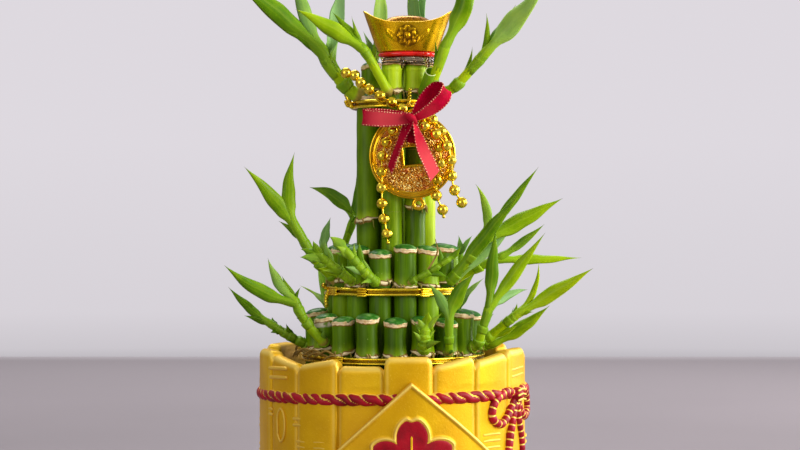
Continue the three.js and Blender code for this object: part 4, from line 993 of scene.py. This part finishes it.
def add_leaf(shape, sheath, leaf, stem_radius, draw, front=False):
    """A blade that starts as a sheath round the stem, opens to a channel and ends in a point."""
    _, tip, width, bow, tone, pale = leaf
    base, tip = sheath[-1], vector(*tip)
    chord = tip - base
    if bow is None:
        aim = unit(unit(base - sheath[-2]) * 0.75 + unit(chord) * 0.25)
        bend = base + aim * np.linalg.norm(chord) * 0.45
    else:
        above = unit(vector(-chord[2], 0, chord[0]))
        above = -above if above[2] < 0 else above
        bend = (base + tip) / 2 + above * 2 * bow
    t = np.append(np.linspace(0, 0.9, 24)[1:], [0.94, 0.97, 0.99, 1.0])[:, None]
    middle = np.vstack([sheath, base * (1 - t) ** 2 + bend * 2 * t * (1 - t) + tip * t**2])
    t = np.vstack([np.zeros((len(sheath), 1)), t])
    along = headings(middle)
    facing = facing_at(tip, front)
    out = unit(facing - along * (along @ facing)[:, None])
    side = np.cross(out, along)
    twist = np.radians((next(draw) - 0.5) * 44) * t
    out, side = out * np.cos(twist) + side * np.sin(twist), side * np.cos(twist) - out * np.sin(twist)
    # At the front the hollow is on the far side, so that sheath and blade run on smoothly
    if tip[1] < REAR_START:
        out, side = -out, -side
    rolled = 1 - smooth(0.0, 0.32, t)
    curl = (0.55 + 0.3 * next(draw)) * (1 - rolled) + 3.5 * rolled
    half = np.maximum(width / 2 * leaf_share(t), 0.05)
    half = half * (1 - rolled) + np.maximum(half * 0.5, stem_radius * 1.06 * curl) * rolled
    half[:len(sheath), 0] *= np.linspace(0.84, 1.0, len(sheath))
    half[-1] = 0.03
    bow_radius = half / curl
    across = np.linspace(-1, 1, BLADE_COLUMNS)
    wave_phase, wave_count = next(draw) * 6.28, (3 + 3 * next(draw)) * math.pi
    ripple = 0.13 * half * np.sin(wave_count * t + wave_phase) * np.sign(across) * across**2
    ripple = ripple * smooth(0.15, 0.5, t)
    sway = 0.06 * width * np.sin(wave_count * t + 2 * wave_phase) * smooth(0.25, 0.5, t) * (1 - t)
    middle = middle + side * sway
    turn = across * curl

    def surface(shift):
        reach = bow_radius * (1 + 0.06 * rolled * across) - shift
        lift = bow_radius - reach * np.cos(turn) - bow_radius * rolled + ripple
        return beside(middle, (side, reach * np.sin(turn)), (out, lift))

    shape.strip(
        surface, across, (0.08 + 0.24 * (1 - across**2)) * np.minimum(1, half / 1.2), kind=1,
        along=np.maximum(t, 0.1), under=np.repeat([0, 1], [BLADE_COLUMNS, BLADE_COLUMNS - 2]),
        pale=pale * smooth(0.0, 0.3, t),
        tone=tone + (next(draw) - 0.5) * 0.08 + 0.12 * smooth(0.3, 1.0, t),
    )


def add_shoot(shape, stalk, shoot, seed, bracts):
    """A stem wrapped in overlapping sheaths, with a collar where it leaves the stalk, and its leaves."""
    _, thick, stem, leaves = shoot
    draw = draws_from(seed)
    bushy, front = stalk["name"] in BUSHY_SHOOTS, stalk["name"] in FRONT_LEAVES
    stem = np.array(stem, dtype=float)
    axis = np.append(stalk["centre"], stem[0][2])
    gap = np.linalg.norm(stem[0] - axis) - stalk["radius"]
    line = np.vstack([stem[0] + unit(axis - stem[0]) * (gap + 2) - UP * 1.5, stem])
    shares = fractions(STEM_STEPS)
    path = spline(line, shares)
    length = lengths(path)[:, None]
    whole = length[-1, 0]
    place = length / whole
    mean_tone = sum(leaf[4] for leaf in leaves) / len(leaves)
    turn = full_turn(STEM_SIDES)
    grow, lip = 0.0, 0.0
    starts = np.arange(0.2, 0.8, 0.13 if bushy else 0.23) + 0.05 * (next(draw) - 0.5)
    for start in starts:
        edge = place - start - 0.05 * np.cos(turn - next(draw) * 6.28)
        grow = grow + 0.055 * np.exp(-np.maximum(-edge, 0) / 0.1) * (edge < 0)
        lip = np.maximum(lip, hump(edge, 0.013))
    collar = smooth(4.2, 2.6, length)
    radius = thick * (1 - 0.22 * shares) * (1 - 0.6 * smooth(0.9, 1.0, shares))
    radius = radius[:, None] * (0.95 + grow) * (1 + 0.12 * smooth(4.6, 2.8, length))
    shape.tube(path, radius, STEM_SIDES, kind=1, along=0.2 + 0.2 * place, across=0.45, collar=0.8 * collar,
               tone=mean_tone + (0.26 if bracts else 0.46), lip=0.5 * lip * (1 - collar))

    def sheath_to(share, reach):
        return spline(line, np.linspace(max(share - reach / whole, 0.03), share, 5))

    for order, leaf in enumerate(leaves):
        share = min(leaf[0], 0.985)
        layer = sum(other[0] > leaf[0] for other in leaves) + 0.3 * order
        stem_radius = thick * (1 - 0.22 * share) * (1 + 0.035 * layer)
        add_leaf(shape, sheath_to(share, 8 if leaf[2] >= 6 else 3), leaf, stem_radius, draw, front)
    sign = 1 if next(draw) > 0.5 else -1
    for start in starts:
        if next(draw) > bracts and not bushy:
            continue
        sheath = sheath_to(start + 0.02, 2.5)
        way = unit(sheath[-1] - sheath[-2])
        aside = unit(np.cross(way, facing_at(stem[-1]))) * sign
        sign = -sign
        size = thick * (1.6 + 1.6 * next(draw)) * (1.5 if bushy else 1.0)
        tip = sheath[-1] + way * size + aside * (thick * 0.7 + size * (0.45 if bushy else 0.18))
        bract = (start, tip, thick * 1.35, None, mean_tone - 0.15 + 0.3 * next(draw), 0.1)
        add_leaf(shape, sheath, bract, thick * (1.14 - 0.22 * start), draw)


def add_stub(shape):
    """The cut sheath, curled and open at its top, beside the shoot at the right of the ingot."""
    steps = 20
    path = spline([(14.5, -18.5, 231), (16.6, -20.6, 236), (18.6, -21.8, 241.5)], steps)
    along = headings(path)
    side = unit(np.cross(along, vector(0, -1, 0)))
    out = np.cross(along, side)
    turn = np.linspace(0.35, 2 * math.pi - 0.35, 30)
    height, reach = fractions(steps)[:, None], np.linspace(2.4, 2.9, steps)[:, None]
    lean = 1.6 * np.sin(turn) * smooth(0.5, 1.0, height)
    outer, inner = (
        beside(path, (along, lean), (side, r * np.cos(turn)), (out, r * np.sin(turn)))
        for r in (reach, reach - 0.4)
    )
    wall = np.concatenate([outer, inner[:, ::-1]], axis=1)
    shape.sheet(wall, 1, capped=True, along=0.3, across=0.5, tone=0.35, lip=smooth(0.93, 1.0, height))


def add_root_husks(shape):
    """Brown scraps of old leaf sheath that lie between the stalks and the rim at the left."""
    draw = draws_from(HUSK_SEED)
    for i in range(9):
        angle = -38 - 5.5 * i + 3 * next(draw)
        low, reach = 100.5 + 3.5 * next(draw), 45.5 + 3 * next(draw)
        heights = low + vector(0, 1.6 + 1.5 * next(draw), 2.2 * next(draw), -1)
        run = around(reach + vector(-2.5, 1, 2.4, 3), angle + vector(3, 0, -5, -9), heights)
        shape.tube(spline(run, 12), np.linspace(1.5, 0.25, 12), 8, kind=1, flat=0.35,
                   along=0.3, across=0.5, collar=0.9)


def add_hanging_husk(shape):
    """One brown scrap that hangs in front of the middle tier."""
    husk = spline([(20.6, -33.4, 159.5), (21.6, -33.4, 154), (18.6, -33.2, 147.5), (15.5, -33.6, 143)], 16)
    shape.tube(husk, np.linspace(0.25, 0.9, 16), 8, kind=1, flat=0.4, along=0.3, collar=1.0)


def make_stalks():
    leaf = leaf_look()
    for stalks, shoots, ruled, tier, tone, bracts, greens in (
        (outer_stalks, OUTER_SHOOTS, OUTER_RULED, "outer", 0.3, 0.6, ("#2e4e00", "#587e00", "#90b004")),
        (middle_stalks, MIDDLE_SHOOTS, MIDDLE_RULED, "middle", 0.4, 0.6, ("#325000", "#5c8400", "#9abc0a")),
        (inner_stalks, INNER_SHOOTS, INNER_RULED, "inner", 0.4, 0.0, ("#3a5800", "#6c9000", "#b8d41c")),
    ):
        look = stalk_look("stalk_" + tier, *greens)
        grown = {shoot[0]: shoot for shoot in shoots + [ruled_shoot(stalks, *rule) for rule in ruled]}
        count = len(stalks)
        draw = draws_from(count * 7)
        for i, stalk in enumerate(stalks):
            name = stalk["name"]
            shape = Shape("down", "ring", "tone", "peel", "along", "across", "under", "pale", "collar", "lip")
            own_tone = INNER_TONES_AND_SHADE[i] if tier == "inner" else tone + (next(draw) - 0.5) * 0.5
            own_tone = min(own_tone, 0.1) if name in DARK_STALKS else own_tone
            add_stalk(shape, stalk, STALK_SEED + 13 * i + count, own_tone)
            add_joint_spikes(shape, stalk, SPIKE_SEED + 19 * i + count)
            if name == "outer_stalk_16":
                add_root_husks(shape)
            if name == "middle_stalk_01":
                add_hanging_husk(shape)
            if i in grown:
                add_shoot(shape, stalk, grown[i], SHOOT_SEED + 17 * i + count, bracts)
            if name == "inner_stalk_02":
                add_stub(shape)
            shape.piece(name + "_grown", [look, leaf], tier + "_stalk_green", name)


def add_tie(shape, inner, bottom, top, centre=(0, 0)):
    """A tie of two bright round wires on a dark flat strip, with painted shade where the wires meet the
    strip.
    """
    wire = (top - bottom) * 0.19
    profile, darks = [(inner, bottom), (inner + 0.15, bottom)], [0.9, 0.9]
    for middle in (bottom + wire, top - wire):
        for turn in np.linspace(-math.pi / 2, math.pi / 2, 11):
            profile.append((inner + 0.2 + 0.95 * math.cos(turn), middle + wire * math.sin(turn)))
            # Painted shade along the edges of each wire, where it meets the strip.
            darks.append(0.8 if abs(turn) > 1.35 else 0.0)
    profile += [(inner + 0.15, top), (inner, top)]
    shape.turned(profile, 160, centre, closed=True, dark=vector(*darks, 0.9, 0.9)[:, None])


def add_clip(shape, inner, degrees, width, bottom, top):
    """A short wrapped turn of wire over a tie."""
    for i, height in enumerate(np.linspace(bottom, top, 4)):
        angles = np.linspace(degrees - width / 2, degrees + width / 2, 14)
        shape.tube(around(inner + 1.2, angles, height), 0.56, 10, dark=0.1 * (i % 2))


def make_ties():
    gold = shiny_gold("tie_wire_gold", 0.02, "#d6a612", "#ffdf38", 0.2)
    shape = Shape("dark")
    add_tie(shape, TOP_TIE_RADIUS, bottom=224, top=228, centre=(0.9, -1.8))
    shape.tube(spline([(-20, -8.5, 225), (-21.8, -9.8, 228), (-23, -9.5, 231)], 10), 1.0, 8)
    shape.tube(spline([(-20, -7.5, 227), (-22.2, -7.8, 225.5), (-23.4, -9, 227.5)], 10), 0.9, 8)
    for k in range(5):
        shape.ball((-20.6 - 0.6 * k, -8.7 - 0.2 * k, 225.2 + 1.4 * k), 1.25, 6, 10, dark=0.45 * (k % 2))
    rise = fractions(40)[:, None]
    stem = vector(7.6, -22.7, 225.4) * (1 - rise) + vector(8.5, -22.9, 233) * rise
    for strand in (0.0, math.pi):
        twist = 2 * math.pi * 2.5 * rise + strand
        path = stem + 0.55 * np.hstack([np.cos(twist), np.sin(twist), 0 * rise])
        shape.tube(path, 0.5 - 0.15 * rise[:, 0], 8, dark=0.35)
    shape.piece("top_tie_wires", [gold], "tie_gold", "top_tie")

    shape = Shape("dark")
    add_tie(shape, MIDDLE_TIE_RADIUS, bottom=132, top=136)
    for degrees, width, bottom in ((-61, 15, 132.4), (-26, 7, 132.2), (27, 6, 132.2)):
        add_clip(shape, MIDDLE_TIE_RADIUS, degrees, width, bottom, bottom + 3.4)
    shape.tube(spline([(-31.2, -12, 134.2), (-33.2, -13.2, 135.6), (-34.4, -13, 137)], 10), 0.9, 8)
    shape.ball((-34, -13.2, 136.6), 1.4, 6, 10, dark=0.4)
    strip = spline([(-31.6, -13, 134), (-32.8, -14, 130.5), (-32.6, -14.4, 126.5)], 12)
    shape.tube(strip, 1.0, 8)
    for k in range(6):
        shape.ball(strip[2 * k], 1.2, 6, 10, dark=0.3 * (k % 2))
    shape.piece("middle_tie_wires", [gold], "tie_gold", "middle_tie")

    shape = Shape("dark")
    add_tie(shape, LOWER_TIE_RADIUS, bottom=99.5, top=103)
    add_clip(shape, LOWER_TIE_RADIUS, degrees=-38, width=12, bottom=99.9, top=102.8)
    shape.piece("lower_tie_wires", [gold], "tie_gold", "lower_tie")


def add_oval(shape, width, depth, bottom, height, wave):
    """A rounded oval slab under the ingot."""
    turn, draw = full_turn(72), draws_from(OVAL_SEED)
    uneven = np.sin(3 * turn + next(draw) * 6.28) + 0.6 * np.sin(7 * turn + next(draw) * 6.28)
    share, level = vector(
        (0, 0), (0.9, 0), (0.97, 0.1), (1, 0.4), (1, 0.65), (0.975, 0.9), (0.93, 1), (0, 1),
    ).T[..., None]
    reach = share * (1 + wave * uneven / 2) / 2
    shape.sheet(xyz(INGOT_CENTRE[0] + width * reach * np.cos(turn),
                    INGOT_CENTRE[1] + depth * reach * np.sin(turn), bottom + height * level))


def make_ingot_seat():
    """The clear glue over the inner stalks, and the red base."""
    shape = Shape()
    add_oval(shape, 26, 18.5, GLUE_BOTTOM, GLUE_HEIGHT, 0.07)
    for stalk in inner_stalks:
        if stalk["glued"]:
            reach, top = stalk["radius"], stalk["top"]
            coat = [(0.6, -0.6), (reach - 0.2, -0.6), (reach + 0.1, -0.4), (reach + 0.05, 0.1),
                    (reach - 0.3, 0.5), (reach * 0.75, 0.9), (0.6, 1.1)]
            shape.turned([(across, top + lift) for across, lift in coat], 40, stalk["centre"])
    for x, y, drop in ((4.6, -17.3, 3.0), (17.6, -13.5, 2.2)):
        run = [(x, y + 0.6, GLUE_BOTTOM + 1.4), (x, y, GLUE_BOTTOM), (x, y + 0.1, GLUE_BOTTOM - drop)]
        shape.tube(spline(run, 12), np.linspace(1.25, 0.6, 12), 10)
    shape.piece("glue_dab", [glue_look()], "clear_glue", "glue_pad")

    shape = Shape()
    add_oval(shape, 29, 20.5, INGOT_BASE_BOTTOM, INGOT_BASE_HEIGHT, 0.006)
    shape.piece("ingot_red_base", [lacquer_look()], "red_lacquer", "ingot_base")


def make_ingot():
    """The boat-shaped hull with a rosette and dots on both sides, and the dome in it."""
    # Half the length, half the depth and the height of each level, and how far its ends rise
    levels = vector(
        (0, 0, 0.2, 0), (12, 8, 0, 0), (14.3, 9.9, 0.1, 0), (14.8, 10.1, 0.9, 0.02), (16.6, 10.8, 4.5, 0.5),
        (19.4, 11.5, 10, 3), (21.6, 11.95, 13.2, 6.1), (22, 12, 13.9, 6.5), (21.5, 11.6, 14.1, 6.5),
        (20.8, 11.1, 13.6, 6.2), (18, 10.2, 12.2, 4), (15.6, 9.4, 11.4, 2), (13.6, 8.6, 12.6, 0.6),
        (12, 7.8, 15, 0), (9.6, 6.4, 16.8, 0), (6.6, 4.6, 17.7, 0), (3, 2.2, 18.1, 0), (0, 0, 18.2, 0),
    )
    fine = spline(levels, 110)
    fine[-1] = levels[-1]
    long, deep, height, rise = fine.T[..., None]
    row, turn = np.arange(len(fine))[:, None], full_turn(240)
    x, y = long * np.cos(turn), deep * np.sin(turn)
    z = height + rise * np.abs(np.cos(turn)) ** 3
    v = z - ROSETTE_HEIGHT
    distance = np.hypot(x, v)
    flower = smooth(0.9, 0.0, np.abs(distance - 3.9 - 0.75 * np.cos(8 * np.arctan2(v, x))))
    flower += smooth(1.5, 0.8, distance)
    for side in (-1, 1):
        for k in range(4):
            dot = np.hypot((x - side * (6.2 + 1.15 * k)) * 0.9, v + 1.6 - 1.15 * k)
            flower += smooth(0.95, 0.35, dot)
    hull = (row >= ORNAMENT_START) & (row <= ORNAMENT_END) & (y != 0)
    relief = hull * np.clip(flower, 0, 1)
    ground = hull * smooth(5.9, 5.3, distance)
    push = unit(xyz(x / 22, y / 12, 0)) * (0.8 * relief - 0.4 * ground)[..., None]
    shape = Shape("dark", "dome")
    shape.sheet(xyz(x, y, z) + push + (*INGOT_CENTRE, INGOT_BOTTOM),
                dome=smooth(14, 15.5, height) * (row >= DOME_START),
                dark=0.75 * ground * smooth(0.7, 0.2, relief))
    shape.piece("ingot_body", [ingot_look()], "ingot_gold", "ingot")


def make_coin():
    """The coin: two rims, a grainy field with small diamonds, a frame round the square hole, and its lugs."""
    turn = full_turn(256)
    local = turn - math.radians(COIN_TURN)
    square = COIN_HOLE / 2 / np.maximum(np.abs(np.cos(local)), np.abs(np.sin(local)))
    radius = square + (COIN_RADIUS - square) * fractions(70)[:, None]
    edge = COIN_RADIUS - radius
    gap = np.maximum(np.abs(radius * np.cos(local)), np.abs(radius * np.sin(local))) - COIN_HOLE / 2
    field = smooth(1.2, 1.6, gap) * smooth(3.3, 3.7, edge)
    height = COIN_RELIEF * (smooth(0, 0.3, gap) - smooth(0.9, 1.3, gap))
    height += COIN_RELIEF * smooth(1.9, 1.5, edge) * smooth(0, 0.35, edge) + 0.5 * hump(edge - 2.9, 0.42)
    diamonds = 0.0
    for middle in full_turn(4):
        u, v = radius * np.cos(local - middle), radius * np.sin(local - middle)
        for offset in (8.4, 11.6, 14.8):
            inside = 1.35 - np.abs(u - offset) - np.abs(v) * 0.45
            diamonds = np.maximum(diamonds, smooth(0, 0.5, inside))
    height += 0.34 * diamonds * field
    x, z = COIN_CENTRE[0] + radius * np.cos(turn), COIN_CENTRE[1] + radius * np.sin(turn)
    face = xyz(x, COIN_BACK - COIN_THICKNESS + COIN_RELIEF - height, z)
    back = xyz(x, COIN_BACK - COIN_RELIEF + height * 0.9, z)
    shape = Shape("field")
    shape.sheet(np.vstack([face, back[::-1]]), closed=True, field=np.vstack([field, field[::-1]]))
    turn = turn[::6]
    for x, z, outer, inner in ((12.5, 176.7, 3.3, 1.4), (9.2, 221.2, 2.2, 0.9)):
        middle = (outer + inner) / 2
        path = xyz(x + middle * np.cos(turn), COIN_BACK - COIN_THICKNESS / 2, z + middle * np.sin(turn))
        shape.tube(path, (outer - inner) / 2, 12, closed=True)
    shape.piece("coin_face", [coin_look()], "coin_gold", "coin")


def before_coin(*pairs):
    """Bead centres that hang straight in front of the coin."""
    return [(x, BEAD_FRONT, z) for x, z in pairs]


BEAD_RUNS = [
    [(-22.9, -20.5, 240.8), (-18.6, -20.8, 239.6), (-15.6, -21.8, 235.9), (-11.4, -23.8, 232.6),
     (-6.2, -27, 229.2), (-0.6, -27.1, 226), (4.4, -27, 222.8), (9.2, -26.3, 219)],
    before_coin((9.2, 219), (4.6, 216), (0.1, 212.4), (-3, 206.6), (-5.1, 200), (-5.3, 192.4), (-5.3, 184.6),
                (-5.2, 176.9), (-4.3, 169.4), (-2.8, 162.1)),
    before_coin((9.2, 219), (14.2, 218.9), (19.2, 217.6), (23.4, 211.9), (22.8, 204.3), (23.4, 196.6),
                (21.6, 188.4), (21.2, 180.8), (24.2, 173.9)),
    [(9.2, -26.3, 219), (15.4, -27.6, 214.4), (20.6, -31.2, 210.4), (25.9, -30.6, 204.8),
     (28.2, -27.4, 197.8), (28.6, -26.3, 190.4), (30, -26.3, 183.4), (33.5, -26.3, 177.4)],
]


def make_beads():
    shape = Shape("dark")
    for i, run in enumerate(BEAD_RUNS):
        for centre in run if i == 0 else run[1:]:
            shape.ball(centre, BEAD_RADIUS, 14, 26)
        shape.tube(spline(run, len(run) * 8), 0.5, 8, dark=0.2)
    for run, drop in ((BEAD_RUNS[1], 4.3), (BEAD_RUNS[2], 3.4)):
        x, y, z = run[-1]
        shape.ball((x + 0.5, y, z - drop), 0.85, 8, 12)
        shape.tube(np.linspace((x, y, z - 2.5), (x + 0.5, y, z - drop), 5), 0.35, 6)
    look = shiny_gold("bead_mirror_gold", 0.03, "#cda212", "#fbd83a", 0.1)
    shape.piece("bead_string_beads", [look], "bead_gold", "bead_string")


def add_strap(shape, points, ways, bright, pinches, steps=60, cut=0.0):
    """A length of ribbon: slightly bowed, with stitched edges, gathered where it enters the knot, and painted
    sheen along it as listed.
    """
    path = spline(points, steps)
    along = headings(path)
    run, across = fractions(steps)[:, None], np.linspace(-1, 1, 15)
    first, last = unit(ways)
    way = first + (last - first) * smooth(0.0, 0.6, run)
    side = unit(way - along * np.sum(way * along, axis=1, keepdims=True))
    face = np.cross(along, side)
    bow = 0.25 * (1 - across**2) * np.sin(math.pi * run)
    slant = across * cut * smooth(0.85, 1.0, run)
    wide = 1 - (1 - pinches[0]) * (1 - smooth(0, 0.3, run)) - (1 - pinches[1]) * (1 - smooth(0, 0.3, 1 - run))

    def surface(shift):
        return beside(path, (side, RIBBON_WIDTH / 2 * wide * across), (along, slant), (face, bow + shift))

    shape.strip(surface, across, 0.2 + 0.12 * smooth(0.7, 0.85, np.abs(across)),
                length=lengths(path)[:, None], bright=np.interp(run, *zip(*bright)))


def make_ribbon():
    """The bow: its left and right loops, the two tails, a short length behind them, and the knot."""
    shape = Shape("across", "length", "bright")
    add_strap(shape, [
        (8.5, -31.4, 218), (0, -30.8, 218.8), (-10, -30.8, 219), (-14, -31.8, 218.6), (-10, -33.2, 218),
        (0, -33.8, 217.4), (8.5, -33.2, 217.8),
    ], [(0.06, 0, 1)] * 2,
        [(0, 0), (0.45, 0), (0.58, 0.25), (0.74, 0.75), (0.9, 0.5), (1, 0.05)], (0.7, 0.75))
    add_strap(shape, [
        (9.8, -32.2, 218.8), (12.4, -32, 223.6), (17, -31.6, 229.2), (22, -32.2, 233), (25.8, -34, 232.2),
        (25, -35.6, 228.4), (20.4, -35.8, 223.6), (14.6, -35, 219.8), (9.8, -33.4, 217.6),
    ], [(-0.62, -0.5, 0.6)] * 2, [(0, 0), (0.7, 0), (0.82, 0.25), (1, 0)], (0.5, 0.55))
    add_strap(shape, [
        (9, -32.2, 217.8), (6.4, -33, 212.4), (3.8, -32.8, 206.6), (1.3, -32.2, 200.3), (-1.4, -31.4, 193),
    ], [(0.75, -0.65, 0), (0.42, -0.9, 0)], [(0, 0), (1, 0.05)], (0.7, 1), 44, 1.4)
    add_strap(shape, [
        (9.6, -32.8, 217.8), (11.6, -34.6, 211.4), (14.4, -34.6, 202.7), (17.8, -34, 195.5), (20.2, -33, 190),
    ], [(0.22, 1, 0), (0.85, 0.62, 0)], [(0, 0), (0.35, 0.2), (0.6, 0.8), (1, 0.95)], (0.55, 1), 44, -1.2)
    add_strap(shape, [(9.6, -31.6, 217), (9.2, -31.8, 213), (9.8, -30.8, 209), (9.6, -30.2, 206.2)],
              [(1, 0.5, 0)] * 2, [(0, 0), (1, 0)], (0.6, 1), 30, 0.6)
    knot = spline([(6.8, -33.2, 219.2), (8.8, -35.2, 218.2), (10.6, -34.2, 216.4)], 14)
    # The knot gets a little painted sheen.
    shape.tube(knot, np.sin(np.linspace(0.7, 2.44, 14)) * 2.2, 16, flat=0.75, bright=0.15, across=0.1)
    shape.ball((9.2, -32.6, 217.8), 2.4, 10, 16, across=0.1)
    shape.piece("ribbon_bow", [ribbon_look()], "ribbon_red", "ribbon")


# Stage, backdrop, lights and camera, in metres
FLOOR_SIDES, FLOOR_FRONT, FLOOR_BACK = 5, -4, 1.42
CAMERA_PLACE = (0.0035, -0.93, 0.1665)
CAMERA_LENS = 83.7
CAMERA_SENSOR = 36
CAMERA_CLIP = 0.05
# The backdrop gets lighter between these two upward parts of the view's direction.
BACKDROP_FOOT, BACKDROP_TOP = -0.071, 0.12
LIGHT_TARGET = (0, 0, 0.17)
# Each light has its place, what it is aimed at, its two sides, its power and its tint.
LIGHTS = {
    "key_right": ((1.25, -0.55, 0.6), LIGHT_TARGET, (0.7, 0.9), 24, (1, 0.98, 0.94)),
    "window_back_right": ((1.2, 0.55, 0.5), LIGHT_TARGET, (0.6, 0.8), 15, (1, 0.99, 0.97)),
    "fill_left": ((-0.9, -1.3, 0.5), LIGHT_TARGET, (0.9, 0.9), 5.8, (1, 1, 1)),
    "top_back": ((-0.2, 0.7, 1.3), LIGHT_TARGET, (0.9, 0.6), 9, (1, 1, 1)),
    "floor_wash": ((0, 1.1, 1.6), (0, 1.25, 0), (3.0, 0.5), 7, (1, 1, 1)),
}


def make_stage():
    """A plain pale floor that ends at the height where the photo's floor meets the wall."""
    mesh = bpy.data.meshes.new("floor")
    corners = [(-FLOOR_SIDES, FLOOR_FRONT, 0), (FLOOR_SIDES, FLOOR_FRONT, 0),
               (FLOOR_SIDES, FLOOR_BACK, 0), (-FLOOR_SIDES, FLOOR_BACK, 0)]
    mesh.from_pydata(corners, [], [(0, 1, 2, 3)])
    mesh.materials.append(floor_look())
    placed("floor", mesh)


def make_world():
    """A plain pale backdrop, and for the metals a room that is light above and darker below."""
    world = bpy.data.worlds.new("soft_room")
    world.use_nodes = True
    room = Nodes(world.node_tree)
    up = room.made("SeparateXYZ", "Z", Vector=room.made("TexCoord", "Generated"))
    light = room.ramp(up, (0, (0.17, 0.15, 0.14, 1)), (0.75, (0.57, 0.565, 0.58, 1)))
    share = room.made("MapRange", "Result", Value=up, From_Min=BACKDROP_FOOT, From_Max=BACKDROP_TOP)
    levels = ((0.0, 0.5), (0.03, 0.6), (0.13, 0.68), (0.6, 0.73))
    wall = room.ramp(share, *((place, (level, level * 0.951, level * 1.014, 1)) for place, level in levels))
    seen = room.mix(room.made("LightPath", "Is Camera Ray"), light, wall)
    room.feed(room.tree.nodes["Background"].inputs["Color"], seen)
    bpy.context.scene.world = world


def make_lights_and_camera():
    scene = bpy.context.scene
    scene.view_settings.view_transform = "Standard"
    for name, (place, target, size, power, tint) in LIGHTS.items():
        light = bpy.data.lights.new(name, "AREA")
        light.shape = "RECTANGLE"
        light.size, light.size_y = size
        light.energy = power
        light.color = tint
        made = placed(name, light)
        made.location = place
        made.rotation_euler = (Vector(target) - Vector(place)).to_track_quat("-Z", "Y").to_euler()
    camera = bpy.data.cameras.new("photo_camera")
    camera.lens = CAMERA_LENS
    camera.sensor_width = CAMERA_SENSOR
    camera.clip_start = CAMERA_CLIP
    made = placed("photo_camera", camera)
    made.location = CAMERA_PLACE
    made.rotation_euler = (math.pi / 2, 0, 0)
    scene.camera = made


make_pot()
make_gravel()
make_stalks()
make_ties()
make_ingot_seat()
make_ingot()
make_coin()
make_beads()
make_ribbon()
make_stage()
make_world()
make_lights_and_camera()
